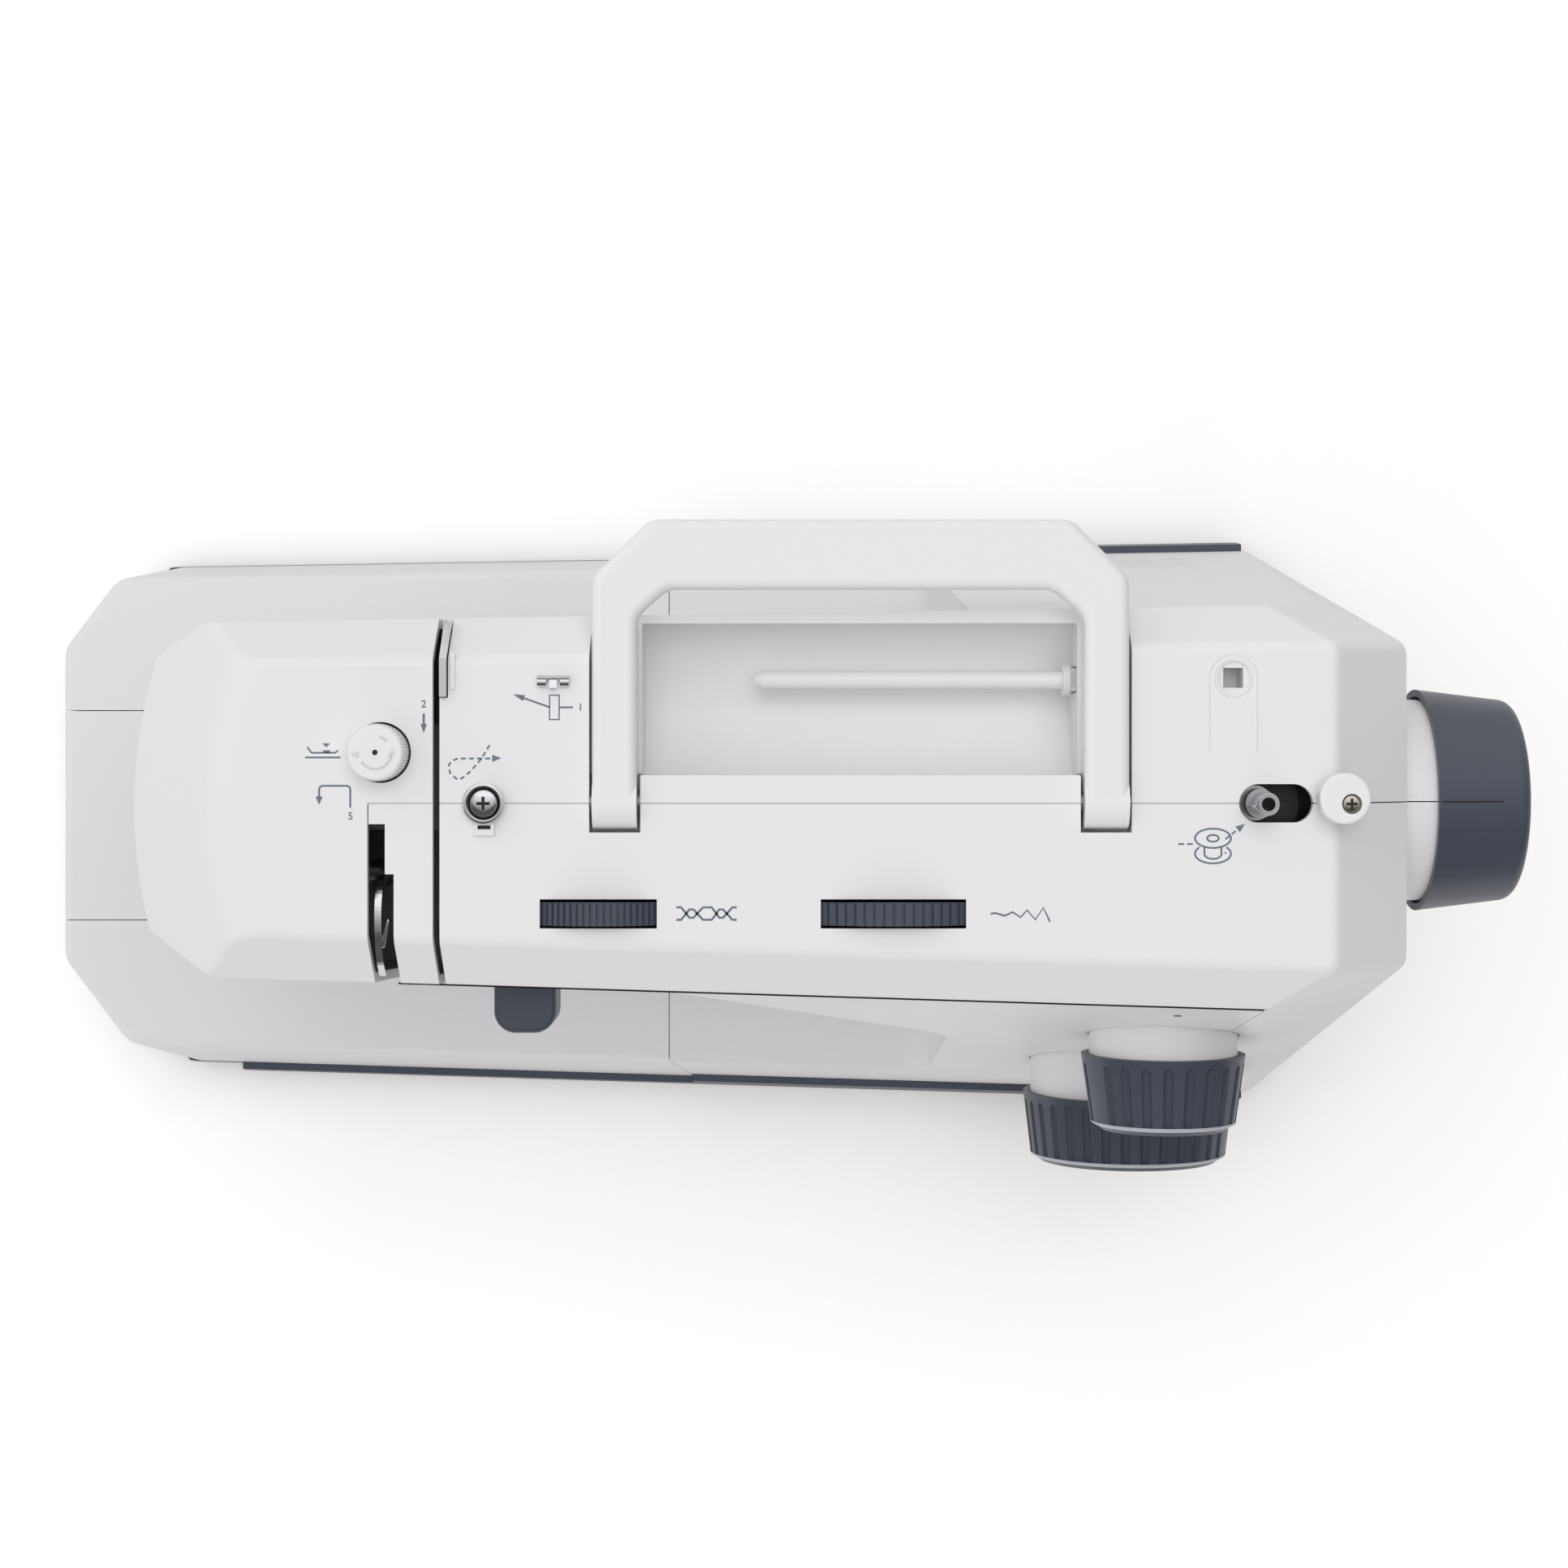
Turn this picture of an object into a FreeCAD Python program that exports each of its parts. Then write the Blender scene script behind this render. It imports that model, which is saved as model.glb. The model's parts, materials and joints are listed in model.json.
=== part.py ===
import FreeCAD, Part
import math
import os

from FreeCAD import Placement, Rotation, Vector

# A free-arm household sewing machine. Millimetres, +X towards the handwheel, -Y towards the user, +Z up.
# The origin is the middle of the bounding box, on the surface that the machine stands on.

# Housing: heights
roof_z = 290.0            # flat top of the arm
bevel_drop = 14.0         # lower edge of the bevel round the roof
arm_depth = 105.0         # underside of the arm
head_depth = 135.0        # underside of the sewing head
bed_z = 66.0              # sewing surface
base_top_z = 16.0         # top of the base pan, lower edge of the covers
foot_height = 4.0         # rubber feet below the base pan
wall = 2.6                # moulded wall
seam = 0.3                # gap between two covers
run = 0.05                # radial running clearance of a shaft

# Housing: plan. The arm narrows towards the head, so its long lines are a depth at x = 0 and a slope.
parting_y = 13.4          # plane between front and rear covers, and of the shafts
front_slope = -0.031
rear_slope = 0.0165
front_crease_y = -24.6    # roof edge at x = 0
rear_crease_y = 52.1
front_belt_y = -36.8      # bevel's lower edge at x = 0
rear_belt_y = 63.1
arm_front_lean = 0.05     # outward travel for each millimetre down
arm_rear_lean = 0.02
column_front_lean = 0.2
column_rear_lean = 0.1264
column_left_x = 72.0
bed_left_x = -16.0        # where the accessory tray meets the base, at the sewing surface
bed_left_lean = 0.12      # that seam leans right on its way down
flare_start_x = -40.0     # where the arm's front begins to flare into the column
roof_right_x = 166.6
side_x = 189.5            # right face at the lower edge of the right bevel
side_bevel_drop = 22.0
side_lean = 0.014
corner_x = 150.5          # where the cut corners start on the belt
corner_side_front_y = -31.1
corner_side_rear_y = 55.7
corner_foot_x = 188.0     # where the cut corners end at the base
corner_edge_x = 166.0     # upper end of the rear corner's edge
corner_edge_drop = 11.0

# Head end: a vertical cylinder with a cone above it
head_end_x = -152.0
head_end_radius = 130.0
head_bevel = 27.0
head_round = 14.0
head_end_core = 60.0      # from the cylinder's axis to where the arm takes over
head_end_y = 12.0
head_right_x = -45.0      # right side of the head at the arm's underside
head_right_run = 15.0     # how far that side leans in down to the head's underside

# Needle line, presser line and thread slots
needle_x = -81.7
presser_offset = 13.2
face_seam_offset = 3.3    # face cover meets the strip between the slots
tension_slot_offset = 14.4
tension_slot_width = 1.8
slot_drop = 75.0          # lower end of the slots on the front
take_up_slot_width = 4.4
take_up_slot_wide = 6.7   # where the lever's eye comes out
take_up_slot_inset = 5.4
take_up_slot_narrow = 13.0

# Spool well and carrying handle
well_front_offset = 7.3
well_width = 39.9
well_depth = 30.0
well_radius = 24.0
handle_arm_width = 11.5
handle_left_x = -26.7     # outer side of the left arm
handle_right_x = 112.4    # outer side of the right arm
handle_play = 0.9
handle_pivot_drop = 3.0
handle_end_radius = 6.7
handle_under_drop = 3.8
handle_rise = 3.6
handle_reach = 73.6
handle_grip_depth = 18.0
handle_corner = 15.0
handle_edge = 2.5
handle_pin_radius = 2.5
pocket_gap = 0.8
pan_wall = 2.4

# Spool pin
spool_offset = 25.2
spool_drop = 19.0
spool_radius = 2.4
spool_tip_inset = 41.9
spool_flange_inset = 15.4
spool_flange_radius = 4.3
spool_pivot_offset = 7.5
spool_pivot_radius = 1.8
root_half = 3.0           # half width of the spool pin's root
root_gap = 0.5
lug = 3.4                 # walls of the spool pin's bearing

# Shafts and belts
shaft_drop = 55.0
shaft_radius = 6.0
bush_radius = 9.0
bush_length = 12.0
lower_shaft_drop = 32.5
lower_shaft_radius = 4.0
timing_radius = 14.0
timing_gap = 3.0
timing_width = 9.0
drive_pulley_radius = 26.0
motor_pulley_radius = 7.0
motor_belt_offset = 12.0
motor_belt_width = 7.0
belt_thickness = 2.0
belt_play = 0.3
motor_offset = 38.6
motor_rise = 42.0
motor_radius = 27.0
motor_length = 50.0
motor_shaft_radius = 3.0
motor_gap = 4.0           # between the motor and its pulley
shaft_inset = 4.0
shaft_end_inset = 8.0

# Handwheel
wheel_gap = 9.5           # inner edge of the rim
wheel_width = 26.0
wheel_radius = 30.8
wheel_end_radius = 27.6
wheel_rim = 1.9
wheel_cup_depth = 15.0
collar_radius = 28.0
collar_overlap = 4.0

# Front dials: axis at dial_x, turning about Y
dial_x = 133.0
length_dial_drop = 85.0
length_dial_radius = 23.7
length_dial_nose_radius = 20.9
length_dial_rear_y = -60.6
pattern_dial_drop = 168.0
pattern_dial_radius = 33.3
pattern_dial_nose_radius = 31.0
pattern_dial_rear_y = -81.5
dial_grip_length = 19.4
dial_dome = 2.4
skirt_play = 2.3          # skirt radius is this much under the grip's
flute_pitch = 6.4         # round the grip
flute_inset = 3.6         # plain band behind the flutes
flute_radius = 1.5
flute_out = 0.55          # the flutes' centres lie this far outside the grip
dial_shaft_radius = 4.5
dial_plate = 5.0          # thickness of the frame plates that carry the dials
skirt_depth = 16.0        # skirt behind the grip
pattern_skirt_depth = 22.0
skirt_gap = 0.5

# Thumbwheels in the roof
thumb_offset = 28.7
thumb_width = 6.0
thumb_rise = 4.4
thumb_slot_play = 0.8
tension_wheel_x = -25.2
tension_wheel_radius = 24.0
width_wheel_x = 51.4
width_wheel_radius = 36.0
tension_rib_pitch = 1.75
width_rib_pitch = 2.5
thumb_axle_radius = 3.0
thumb_lug = 4.0           # thickness of the bearings under the roof

# Bobbin winder
winder_x = 146.3
winder_slot_length = 19.2
winder_slot_width = 10.0
winder_radius = 2.95
winder_collar_radius = 3.8
winder_rise = 14.0
winder_pivot_offset = 4.3
winder_arm_reach = 39.9
winder_post_radius = 3.0
winder_arm_drop = 13.0    # underside of the winder's arm below the roof
winder_arm_thickness = 3.5
winder_stem_radius = 2.4
stop_offset = 20.6
stop_shift = 1.4
stop_radius = 6.6
stop_post_radius = 3.6
stop_rise = 4.0
stop_thickness = 5.5

# Knob of the presser pressure, reverse lever, sockets
knob_radius = 7.2
knob_hole_radius = 7.9
knob_rise = 10.0
reverse_offset = 33.5
reverse_width = 17.0
reverse_reach = 32.5
reverse_pivot_drop = 36.0
reverse_height = 17.0
reverse_pivot_inset = 31.4
reverse_pin_radius = 2.5
reverse_drop = 9.0        # room for the lever's travel
reverse_lug = 4.5
socket_x = 139.7
socket_offset = 32.6
socket_radius = 4.3
socket_hole = 5.2
socket_depth = 11.0
switch_offset = 31.6
switch_rise = 34.0
inlet_rise = 54.0
power_half_width = 11.0
rocker_radius = 12.4
rocker_pin_radius = 1.5
vent_count = 7
vent_x = 112.0
vent_length = 48.0
vent_rise = 36.0
vent_pitch = 8.0
vent_height = 3.0
lamp_offset = 26.3
lamp_shift = 9.4
lamp_radius = 9.0

# Free arm, bed fittings and tray
free_arm_end_x = -180.0
free_arm_front_depth = 43.4
free_arm_rear_depth = 27.6
free_arm_depth = 47.0
tray_play = 0.8
tray_left_x = -222.5
tray_corner_run = 19.0    # how far the cut corners go back from the left end
tray_front_corner_y = -43.6
tray_rear_corner_y = 62.2
tray_corner_depth = 25.0
tray_wall = 2.4
pan_depth = 5.0
pan_margin = 2.5          # the dark pans stand out this far below the white covers
pan_lip_inset = 50.0      # the tray's pan stands out at its end, and at the front from here on
lid_hinge_inset = 3.4
lid_barrel_radius = 2.4
lid_pin_radius = 1.2
foot_left_x = 12.0
foot_right_x = 165.0
foot_y = 72.0
foot_radius = 9.0
lid_front_margin = 0.4
lid_rear_margin = 0.2
lid_right_margin = 6.0
lid_hinge_rise = 4.0
plate_thickness = 2.0
plate_left_reach = 36.3
plate_right_reach = 41.7
plate_front_reach = 10.2
plate_rear_reach = 24.6
bobbin_cover_left_reach = 22.3
bobbin_cover_right_reach = 21.7
bobbin_cover_depth = 30.2

# Stitch-forming parts
hook_offset = 19.9
hook_radius = 17.5
hook_gear_radius = 8.2
hook_shaft_radius = 4.0
hook_drop = 5.0
hook_depth = 15.6
mesh_play = 0.4
needle_bar_radius = 3.4
needle_bar_rise = 15.0
needle_rise = 8.0
needle_stroke = 24.0
presser_radius = 3.0
presser_lift = 6.0
foot_gap = 0.4
crank_radius = 17.0
crank_offset = 15.7
crank_width = 8.0
crank_pin_length = 3.0
crank_pin_radius = 4.0
pin_play = 0.5            # the link stays this far from the crank pin's end
link_thickness = 5.5
link_drop = 37.0          # from the crank pin down to the needle bar's stud
stud_radius = 3.0
take_up_offset = 19.4
take_up_pivot_rise = 1.0
take_up_pin_radius = 3.0
take_up_reach = 26.0
take_up_eye_drop = 23.0
pretension_offset = 27.0
rear_guide_offset = 27.6
rear_guide_thickness = 1.8
top_guide_offset = 44.9
top_guide_depth = 31.5
disc_offset = 30.4        # tension discs
disc_drop = 28.0
disc_radius = 11.0
lifter_offset = 17.2
lifter_rise = 23.0
lifter_radius = 3.0
lifter_stand_off = 2.5    # behind the belt line, so that the arm hides it from above
lifter_thickness = 2.2

# Frame casting
beam_rise = 10.0
beam_height = 10.0
bracket_thickness = 8.0
frame_front_depth = 11.4
frame_rear_depth = 11.6
post_offset = 6.0
post_width = 14.0
bed_beam_drop = 11.5
bed_beam_height = 5.0
bush_offset = 12.0
bush_right_inset = 27.5
lower_bush_offset = 15.7
lower_bush_inset = 14.0
lower_bush_radius = 7.0

# Heights worked out from the roof, the bed and the base
belt_z = roof_z - bevel_drop
side_bevel_z = roof_z - side_bevel_drop
corner_edge_z = belt_z - corner_edge_drop
arm_under_z = roof_z - arm_depth
head_under_z = roof_z - head_depth
slot_foot_z = roof_z - slot_drop
well_floor_z = roof_z - well_depth
handle_pivot_z = roof_z - handle_pivot_drop
handle_under_z = handle_pivot_z - handle_under_drop
handle_top_z = roof_z + handle_rise
pocket_floor_z = handle_under_z - pocket_gap
spool_z = roof_z - spool_drop
shaft_z = roof_z - shaft_drop
lower_shaft_z = bed_z - lower_shaft_drop
motor_z = base_top_z + motor_rise
length_dial_z = roof_z - length_dial_drop
pattern_dial_z = roof_z - pattern_dial_drop
winder_top_z = roof_z + winder_rise
stop_under_z = roof_z + stop_rise
stop_top_z = stop_under_z + stop_thickness
knob_top_z = roof_z + knob_rise
reverse_z = belt_z - reverse_pivot_drop
inlet_z = base_top_z + inlet_rise
switch_z = inlet_z + switch_rise
vent_z = base_top_z + vent_rise
free_arm_under_z = bed_z - free_arm_depth
tray_under_z = foot_height + pan_depth
lid_hinge_z = tray_under_z + lid_hinge_rise
hook_top_z = bed_z - hook_drop
hook_floor_z = hook_top_z - hook_depth
needle_bar_top_z = shaft_z + needle_bar_rise
needle_tip_z = bed_z + needle_rise
foot_z = bed_z + foot_gap
take_up_pivot_z = shaft_z + take_up_pivot_rise
take_up_eye_z = roof_z - take_up_eye_drop
disc_z = roof_z - disc_drop
lifter_z = head_under_z + lifter_rise
beam_z = arm_under_z + beam_rise
beam_top_z = beam_z + beam_height
bed_beam_z = lower_shaft_z - bed_beam_drop
bed_beam_top_z = bed_beam_z + bed_beam_height

# Places along the arm, worked out from the needle, the column and the right side
face_seam_x = needle_x - face_seam_offset
tension_slot_x = needle_x + tension_slot_offset
pretension_x = needle_x + pretension_offset
top_guide_x = needle_x + top_guide_offset
lifter_x = needle_x + lifter_offset
crank_x = needle_x + crank_offset
shaft_left_x = crank_x + shaft_inset
bush_left_x = crank_x + bush_offset
lower_bush_left_x = needle_x + lower_bush_offset
plate_left_x = needle_x - plate_left_reach
plate_right_x = needle_x + plate_right_reach
bobbin_cover_left_x = needle_x - bobbin_cover_left_reach
bobbin_cover_right_x = needle_x + bobbin_cover_right_reach
lamp_x = needle_x - lamp_offset
reverse_x = needle_x + reverse_offset
post_left_x = column_left_x + post_offset
post_right_x = post_left_x + post_width
timing_x = post_right_x + timing_gap
motor_belt_x = timing_x + motor_belt_offset
lower_bush_right_x = column_left_x - lower_bush_inset
wheel_x = side_x + wheel_gap
wheel_end_x = wheel_x + wheel_width
collar_end_x = wheel_x + collar_overlap
shaft_end_x = wheel_end_x - shaft_end_inset
bush_right_x = side_x - bush_right_inset
winder_pivot_x = winder_x + winder_pivot_offset
stop_x = winder_x + stop_offset
spool_flange_x = handle_right_x - spool_flange_inset
spool_pivot_x = spool_flange_x + spool_pivot_offset
spool_tip_x = handle_left_x + spool_tip_inset
lid_right_x = free_arm_end_x - lid_right_margin

# Places across the arm, worked out from the parting plane
presser_y = parting_y + presser_offset
well_front_y = parting_y + well_front_offset
well_rear_y = well_front_y + well_width
handle_rear_y = parting_y + handle_reach
spool_y = well_front_y + spool_offset
take_up_slot_rear_y = parting_y - take_up_slot_inset
take_up_slot_step_y = take_up_slot_rear_y - take_up_slot_narrow
thumb_y = parting_y - thumb_offset
winder_pivot_y = parting_y - winder_arm_reach
stop_y = parting_y + stop_shift
hook_y = parting_y - hook_offset
take_up_pivot_y = parting_y - take_up_offset
take_up_eye_y = take_up_pivot_y - take_up_reach
reverse_pivot_y = parting_y - reverse_pivot_inset
reverse_front_y = reverse_pivot_y - reverse_reach
frame_front_y = parting_y - frame_front_depth
frame_rear_y = parting_y + frame_rear_depth
free_arm_front_y = parting_y - free_arm_front_depth
free_arm_rear_y = parting_y + free_arm_rear_depth
plate_front_y = parting_y - plate_front_reach
plate_rear_y = parting_y + plate_rear_reach
bobbin_cover_front_y = plate_front_y - bobbin_cover_depth
disc_y = parting_y - disc_offset
rear_guide_y = parting_y + rear_guide_offset
top_guide_y = parting_y + top_guide_depth
motor_y = parting_y + motor_offset
switch_y = parting_y + switch_offset
socket_y = parting_y + socket_offset
lamp_y = parting_y - lamp_shift
lid_front_y = free_arm_front_y - lid_front_margin
lid_rear_y = free_arm_rear_y + lid_rear_margin

nodes = {}
room = 350.0              # half width of the space that the model lies in
big = 6 * room


def add(name, shape):
    nodes[name] = shape


def box(x0, x1, y0, y1, z0, z1):
    return Part.makeBox(x1 - x0, y1 - y0, z1 - z0, Vector(x0, y0, z0))


def cyl_x(x0, x1, y, z, radius):
    return Part.makeCylinder(radius, x1 - x0, Vector(x0, y, z), Vector(1, 0, 0))


def cyl_y(x, y0, y1, z, radius):
    return Part.makeCylinder(radius, y1 - y0, Vector(x, y0, z), Vector(0, 1, 0))


def cyl_z(x, y, z0, z1, radius):
    return Part.makeCylinder(radius, z1 - z0, Vector(x, y, z0), Vector(0, 0, 1))


def cone_x(x0, x1, y, z, r0, r1):
    return Part.makeCone(r0, r1, x1 - x0, Vector(x0, y, z), Vector(1, 0, 0))


def cone_y(x, y0, y1, z, r0, r1):
    """A cone that runs from y0 towards the user to y1."""
    return Part.makeCone(r0, r1, y0 - y1, Vector(x, y0, z), Vector(0, -1, 0))


def fuse(*shapes):
    return shapes[0].fuse(list(shapes[1:])).removeSplitter()


def prism(points, z0, z1):
    """A flat outline given as (x, y) points, raised from z0 to z1."""
    corners = [Vector(x, y, z0) for x, y in points]
    return Part.Face(Part.makePolygon(corners + corners[:1])).extrude(Vector(0, 0, z1 - z0))


def profile_x(points, x0, x1):
    """An outline given as (y, z) points, drawn out along X."""
    corners = [Vector(x0, y, z) for y, z in points]
    return Part.Face(Part.makePolygon(corners + corners[:1])).extrude(Vector(x1 - x0, 0, 0))


def profile_y(points, y0, y1):
    """An outline given as (x, z) points, drawn out along Y."""
    corners = [Vector(x, y0, z) for x, z in points]
    return Part.Face(Part.makePolygon(corners + corners[:1])).extrude(Vector(0, y1 - y0, 0))


def round_edges(shape, radius, wanted):
    return shape.makeFillet(radius, [e for e in shape.Edges if wanted(e)])


def upright(edge):
    a, b = edge.Vertexes[0].Point, edge.Vertexes[-1].Point
    return abs(a.x - b.x) < 1e-6 and abs(a.y - b.y) < 1e-6 and abs(a.z - b.z) > 1e-6


def plane(a, b, c, inside, is_open=False):
    """A bounding plane through three points, as a point, an outward normal and whether it stays open."""
    a, b, c = Vector(*a), Vector(*b), Vector(*c)
    normal = (b - a).cross(c - a).normalize()
    if normal.dot(Vector(*inside) - a) > 0:
        normal = normal * -1
    return a, normal, is_open


def off_plane(shape, at, normal):
    """Cuts away what lies beyond a plane."""
    tool = Part.makeBox(big, big, big, Vector(-big / 2, -big / 2, 0))
    tool.Placement = Placement(at, Rotation(Vector(0, 0, 1), normal))
    return shape.cut(tool)


def convex(planes, inset):
    """The solid inside all the planes, each moved in by the inset. An open plane moves out instead."""
    shape = box(-room, room, -room, room, -room, room)
    for at, normal, is_open in planes:
        shift = 5.0 if is_open and inset > 0 else -inset
        shape = off_plane(shape, at + normal * shift, normal)
    return shape


def on_planes(first, second, tolerance=0.02):
    """A test for edges that lie on both planes."""
    def wanted(edge):
        ends = [v.Point for v in edge.Vertexes]
        return all(
            abs((p - at).dot(normal)) < tolerance
            for p in ends
            for at, normal, is_open in (first, second)
        )
    return wanted


def front_line(x, at_zero):
    return at_zero + front_slope * x


def rear_line(x, at_zero):
    return at_zero + rear_slope * x


# Housing planes
core = (0.0, parting_y, 240.0)
column_core = (120.0, parting_y, 150.0)
reach = 100.0
arm_drop = belt_z - arm_under_z
column_drop = belt_z - base_top_z
front_foot_y = front_belt_y - column_front_lean * column_drop
rear_foot_y = rear_belt_y + column_rear_lean * column_drop


def lengthwise(y_top, z_top, y_low, z_low, slope, inside):
    """A plane along the arm through a line at one height and a parallel line at another."""
    return plane(
        (0, y_top, z_top), (reach, y_top + slope * reach, z_top), (0, y_low, z_low), inside
    )


def roof_corner(y):
    return roof_right_x, y, roof_z


corner_roof_front = roof_corner(front_line(roof_right_x, front_crease_y))
corner_roof_rear = roof_corner(rear_line(roof_right_x, rear_crease_y))
corner_belt_front = (corner_x, front_line(corner_x, front_belt_y), belt_z)
corner_belt_rear = (corner_x, rear_line(corner_x, rear_belt_y), belt_z)
corner_side_front = (side_x, corner_side_front_y, side_bevel_z)
corner_side_rear = (side_x, corner_side_rear_y, side_bevel_z)
corner_foot_front = (corner_foot_x, front_line(corner_foot_x, front_foot_y), base_top_z)
corner_foot_rear = (corner_foot_x, rear_line(corner_foot_x, rear_foot_y), base_top_z)
corner_edge_rear = (
    corner_edge_x, rear_line(corner_edge_x, rear_belt_y + column_rear_lean * corner_edge_drop), corner_edge_z
)
top = plane((0, 0, roof_z), (reach, 0, roof_z), (0, reach, roof_z), core)
front_bevel = lengthwise(front_crease_y, roof_z, front_belt_y, belt_z, front_slope, core)
rear_bevel = lengthwise(rear_crease_y, roof_z, rear_belt_y, belt_z, rear_slope, core)
arm_front = lengthwise(
    front_belt_y, belt_z, front_belt_y - arm_front_lean * arm_drop, arm_under_z, front_slope, core
)
arm_rear = lengthwise(
    rear_belt_y, belt_z, rear_belt_y + arm_rear_lean * arm_drop, arm_under_z, rear_slope, core
)
arm_under = plane((0, 0, arm_under_z), (reach, 0, arm_under_z), (0, reach, arm_under_z), core)
head_under = plane((0, 0, head_under_z), (reach, 0, head_under_z), (0, reach, head_under_z), core)
head_left_front = plane((-143.5, -23.7, 0), (-130.7, -31.3, 0), (-143.5, -23.7, 100), core)
head_left_rear = plane((-142.0, 54.4, 0), (-131.8, 60.4, 0), (-142.0, 54.4, 100), core)
head_right = plane(
    (head_right_x, 0, arm_under_z),
    (head_right_x, reach, arm_under_z),
    (head_right_x - head_right_run, 0, head_under_z),
    (needle_x, parting_y, 200.0),
)
side_bevel = plane(
    (roof_right_x, 0, roof_z), (roof_right_x, reach, roof_z), (side_x, 0, side_bevel_z), core
)
side = plane(
    (side_x, 0, side_bevel_z),
    (side_x, reach, side_bevel_z),
    (side_x + side_lean * (side_bevel_z - base_top_z), 0, base_top_z),
    core,
)
column_front = lengthwise(
    front_belt_y, belt_z, front_foot_y, base_top_z, front_slope, column_core
)
column_rear = lengthwise(rear_belt_y, belt_z, rear_foot_y, base_top_z, rear_slope, column_core)
roof_corner_front = plane(corner_roof_front, corner_side_front, corner_belt_front, core)
roof_corner_rear = plane(corner_roof_rear, corner_side_rear, corner_belt_rear, core)
corner_front = plane(corner_belt_front, corner_side_front, corner_foot_front, column_core)
corner_rear = plane(corner_edge_rear, corner_side_rear, corner_foot_rear, column_core)
column_left = plane(
    (column_left_x, 0, 0), (column_left_x, reach, 0), (column_left_x, 0, reach), column_core
)
base_cut = plane(
    (0, 0, base_top_z), (reach, 0, base_top_z), (0, reach, base_top_z), column_core, True
)
bed_core = (30.0, parting_y, 40.0)
bed_top = plane((0, 0, bed_z), (reach, 0, bed_z), (0, reach, bed_z), bed_core)
bed_foot_x = bed_left_x + bed_left_lean * (bed_z - base_top_z)
bed_left = plane(
    (bed_left_x, 0, bed_z), (bed_left_x, reach, bed_z), (bed_foot_x, 0, base_top_z), bed_core
)
bed_right = plane(
    (column_left_x + 20, 0, 0), (column_left_x + 20, reach, 0), (column_left_x + 20, 0, reach), bed_core
)

roof = [top, front_bevel, rear_bevel]
right_end = [side_bevel, side, roof_corner_rear, roof_corner_front, corner_rear, corner_front]
left_end = [head_left_front, head_left_rear]
arm_planes = roof + right_end + left_end + [arm_front, arm_rear, arm_under]
head_planes = roof + left_end + [arm_front, arm_rear, head_under, head_right]
column_planes = roof + right_end + [column_front, column_rear, column_left, base_cut]
bed_planes = [column_front, column_rear, bed_top, bed_left, bed_right, base_cut]


def head_end(inset):
    """The rounded left end: what lies inside an upright cylinder with a soft-edged cone on top."""
    radius = head_end_radius - inset
    x = head_end_x + head_end_radius
    top_z = roof_z - inset
    drum = cyl_z(x, head_end_y, 0, top_z - head_bevel, radius)
    cone = Part.makeCone(
        radius, radius - head_bevel, head_bevel, Vector(x, head_end_y, top_z - head_bevel), Vector(0, 0, 1)
    )
    shape = fuse(drum, cone)
    shape = round_edges(shape, head_round, lambda edge: edge.BoundBox.ZMin > top_z - 1e-3)
    right_of_axis = box(x - head_end_core, room, -room, room, 0, top_z)
    return fuse(shape, right_of_axis)


def flare():
    """The facet by which the arm's front runs out into the column's front."""
    x = column_left_x
    y_belt = front_line(x, front_belt_y)
    y_column = y_belt - column_front_lean * arm_drop
    y_arm = y_belt - arm_front_lean * arm_drop
    y_start = front_line(flare_start_x, front_belt_y) - arm_front_lean * arm_drop
    inner = 4.0
    belt = Vector(x, y_belt, belt_z)
    outer = Vector(x, y_column, arm_under_z)
    start = Vector(flare_start_x, y_start, arm_under_z)
    back = Vector(x, y_arm + inner, arm_under_z)
    faces = [
        Part.Face(Part.makePolygon([a, b, c, a]))
        for a, b, c in (
            (belt, outer, start), (belt, start, back), (belt, back, outer), (outer, back, start)
        )
    ]
    return Part.Solid(Part.Shell(faces))


def body(inset):
    end = head_end(inset)
    arm = convex(arm_planes, inset).common(end)
    head = convex(head_planes, inset).common(end)
    column = convex(column_planes, inset)
    bed = convex(bed_planes, inset)
    return fuse(arm, head, column, bed)


def outer_body():
    shape = fuse(body(0), flare()).Solids[0]
    roof_edges = [
        (top, front_bevel), (top, rear_bevel), (top, side_bevel),
        (front_bevel, roof_corner_front), (side_bevel, roof_corner_front),
        (rear_bevel, roof_corner_rear), (side_bevel, roof_corner_rear),
    ]
    column_edges = [
        (side, corner_front), (column_front, corner_front), (side, corner_rear), (column_rear, corner_rear),
    ]
    inside_edges = [(arm_under, column_left), (column_left, bed_top)]
    for radius, pairs in ((4.0, roof_edges), (5.0, column_edges), (9.0, inside_edges)):
        tests = [on_planes(first, second) for first, second in pairs]
        shape = round_edges(shape, radius, lambda edge: any(test(edge) for test in tests))
    collar = cyl_x(side_x - 8, collar_end_x, parting_y, shaft_z, collar_radius)
    return fuse(shape, collar)


def inner_body():
    collar = cyl_x(side_x - 14, collar_end_x - wall, parting_y, shaft_z, collar_radius - wall)
    return fuse(body(wall), collar)


# Places derived from the sizes above
above = roof_z + 40.0
well_left_x = handle_left_x + handle_arm_width + handle_play
well_right_x = handle_right_x - handle_arm_width - handle_play
arm_slots = [
    (handle_left_x - handle_play, well_left_x),
    (well_right_x, handle_right_x + handle_play),
]
slot_front_y = parting_y - handle_end_radius - handle_play
slot_pivot_end_y = parting_y + handle_end_radius + handle_play
pivot_pocket_z = handle_pivot_z - handle_end_radius - handle_play
well_mid_y = (well_front_y + well_rear_y) / 2
well_half = (well_rear_y - well_front_y) / 2
bowl_z = well_floor_z + well_radius
well_side_z = bowl_z - math.sqrt(well_radius**2 - well_half**2)
tension_left_x = tension_slot_x - tension_slot_width / 2
tension_right_x = tension_slot_x + tension_slot_width / 2
length_skirt_radius = length_dial_radius - skirt_play
pattern_skirt_radius = pattern_dial_radius - skirt_play
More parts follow.
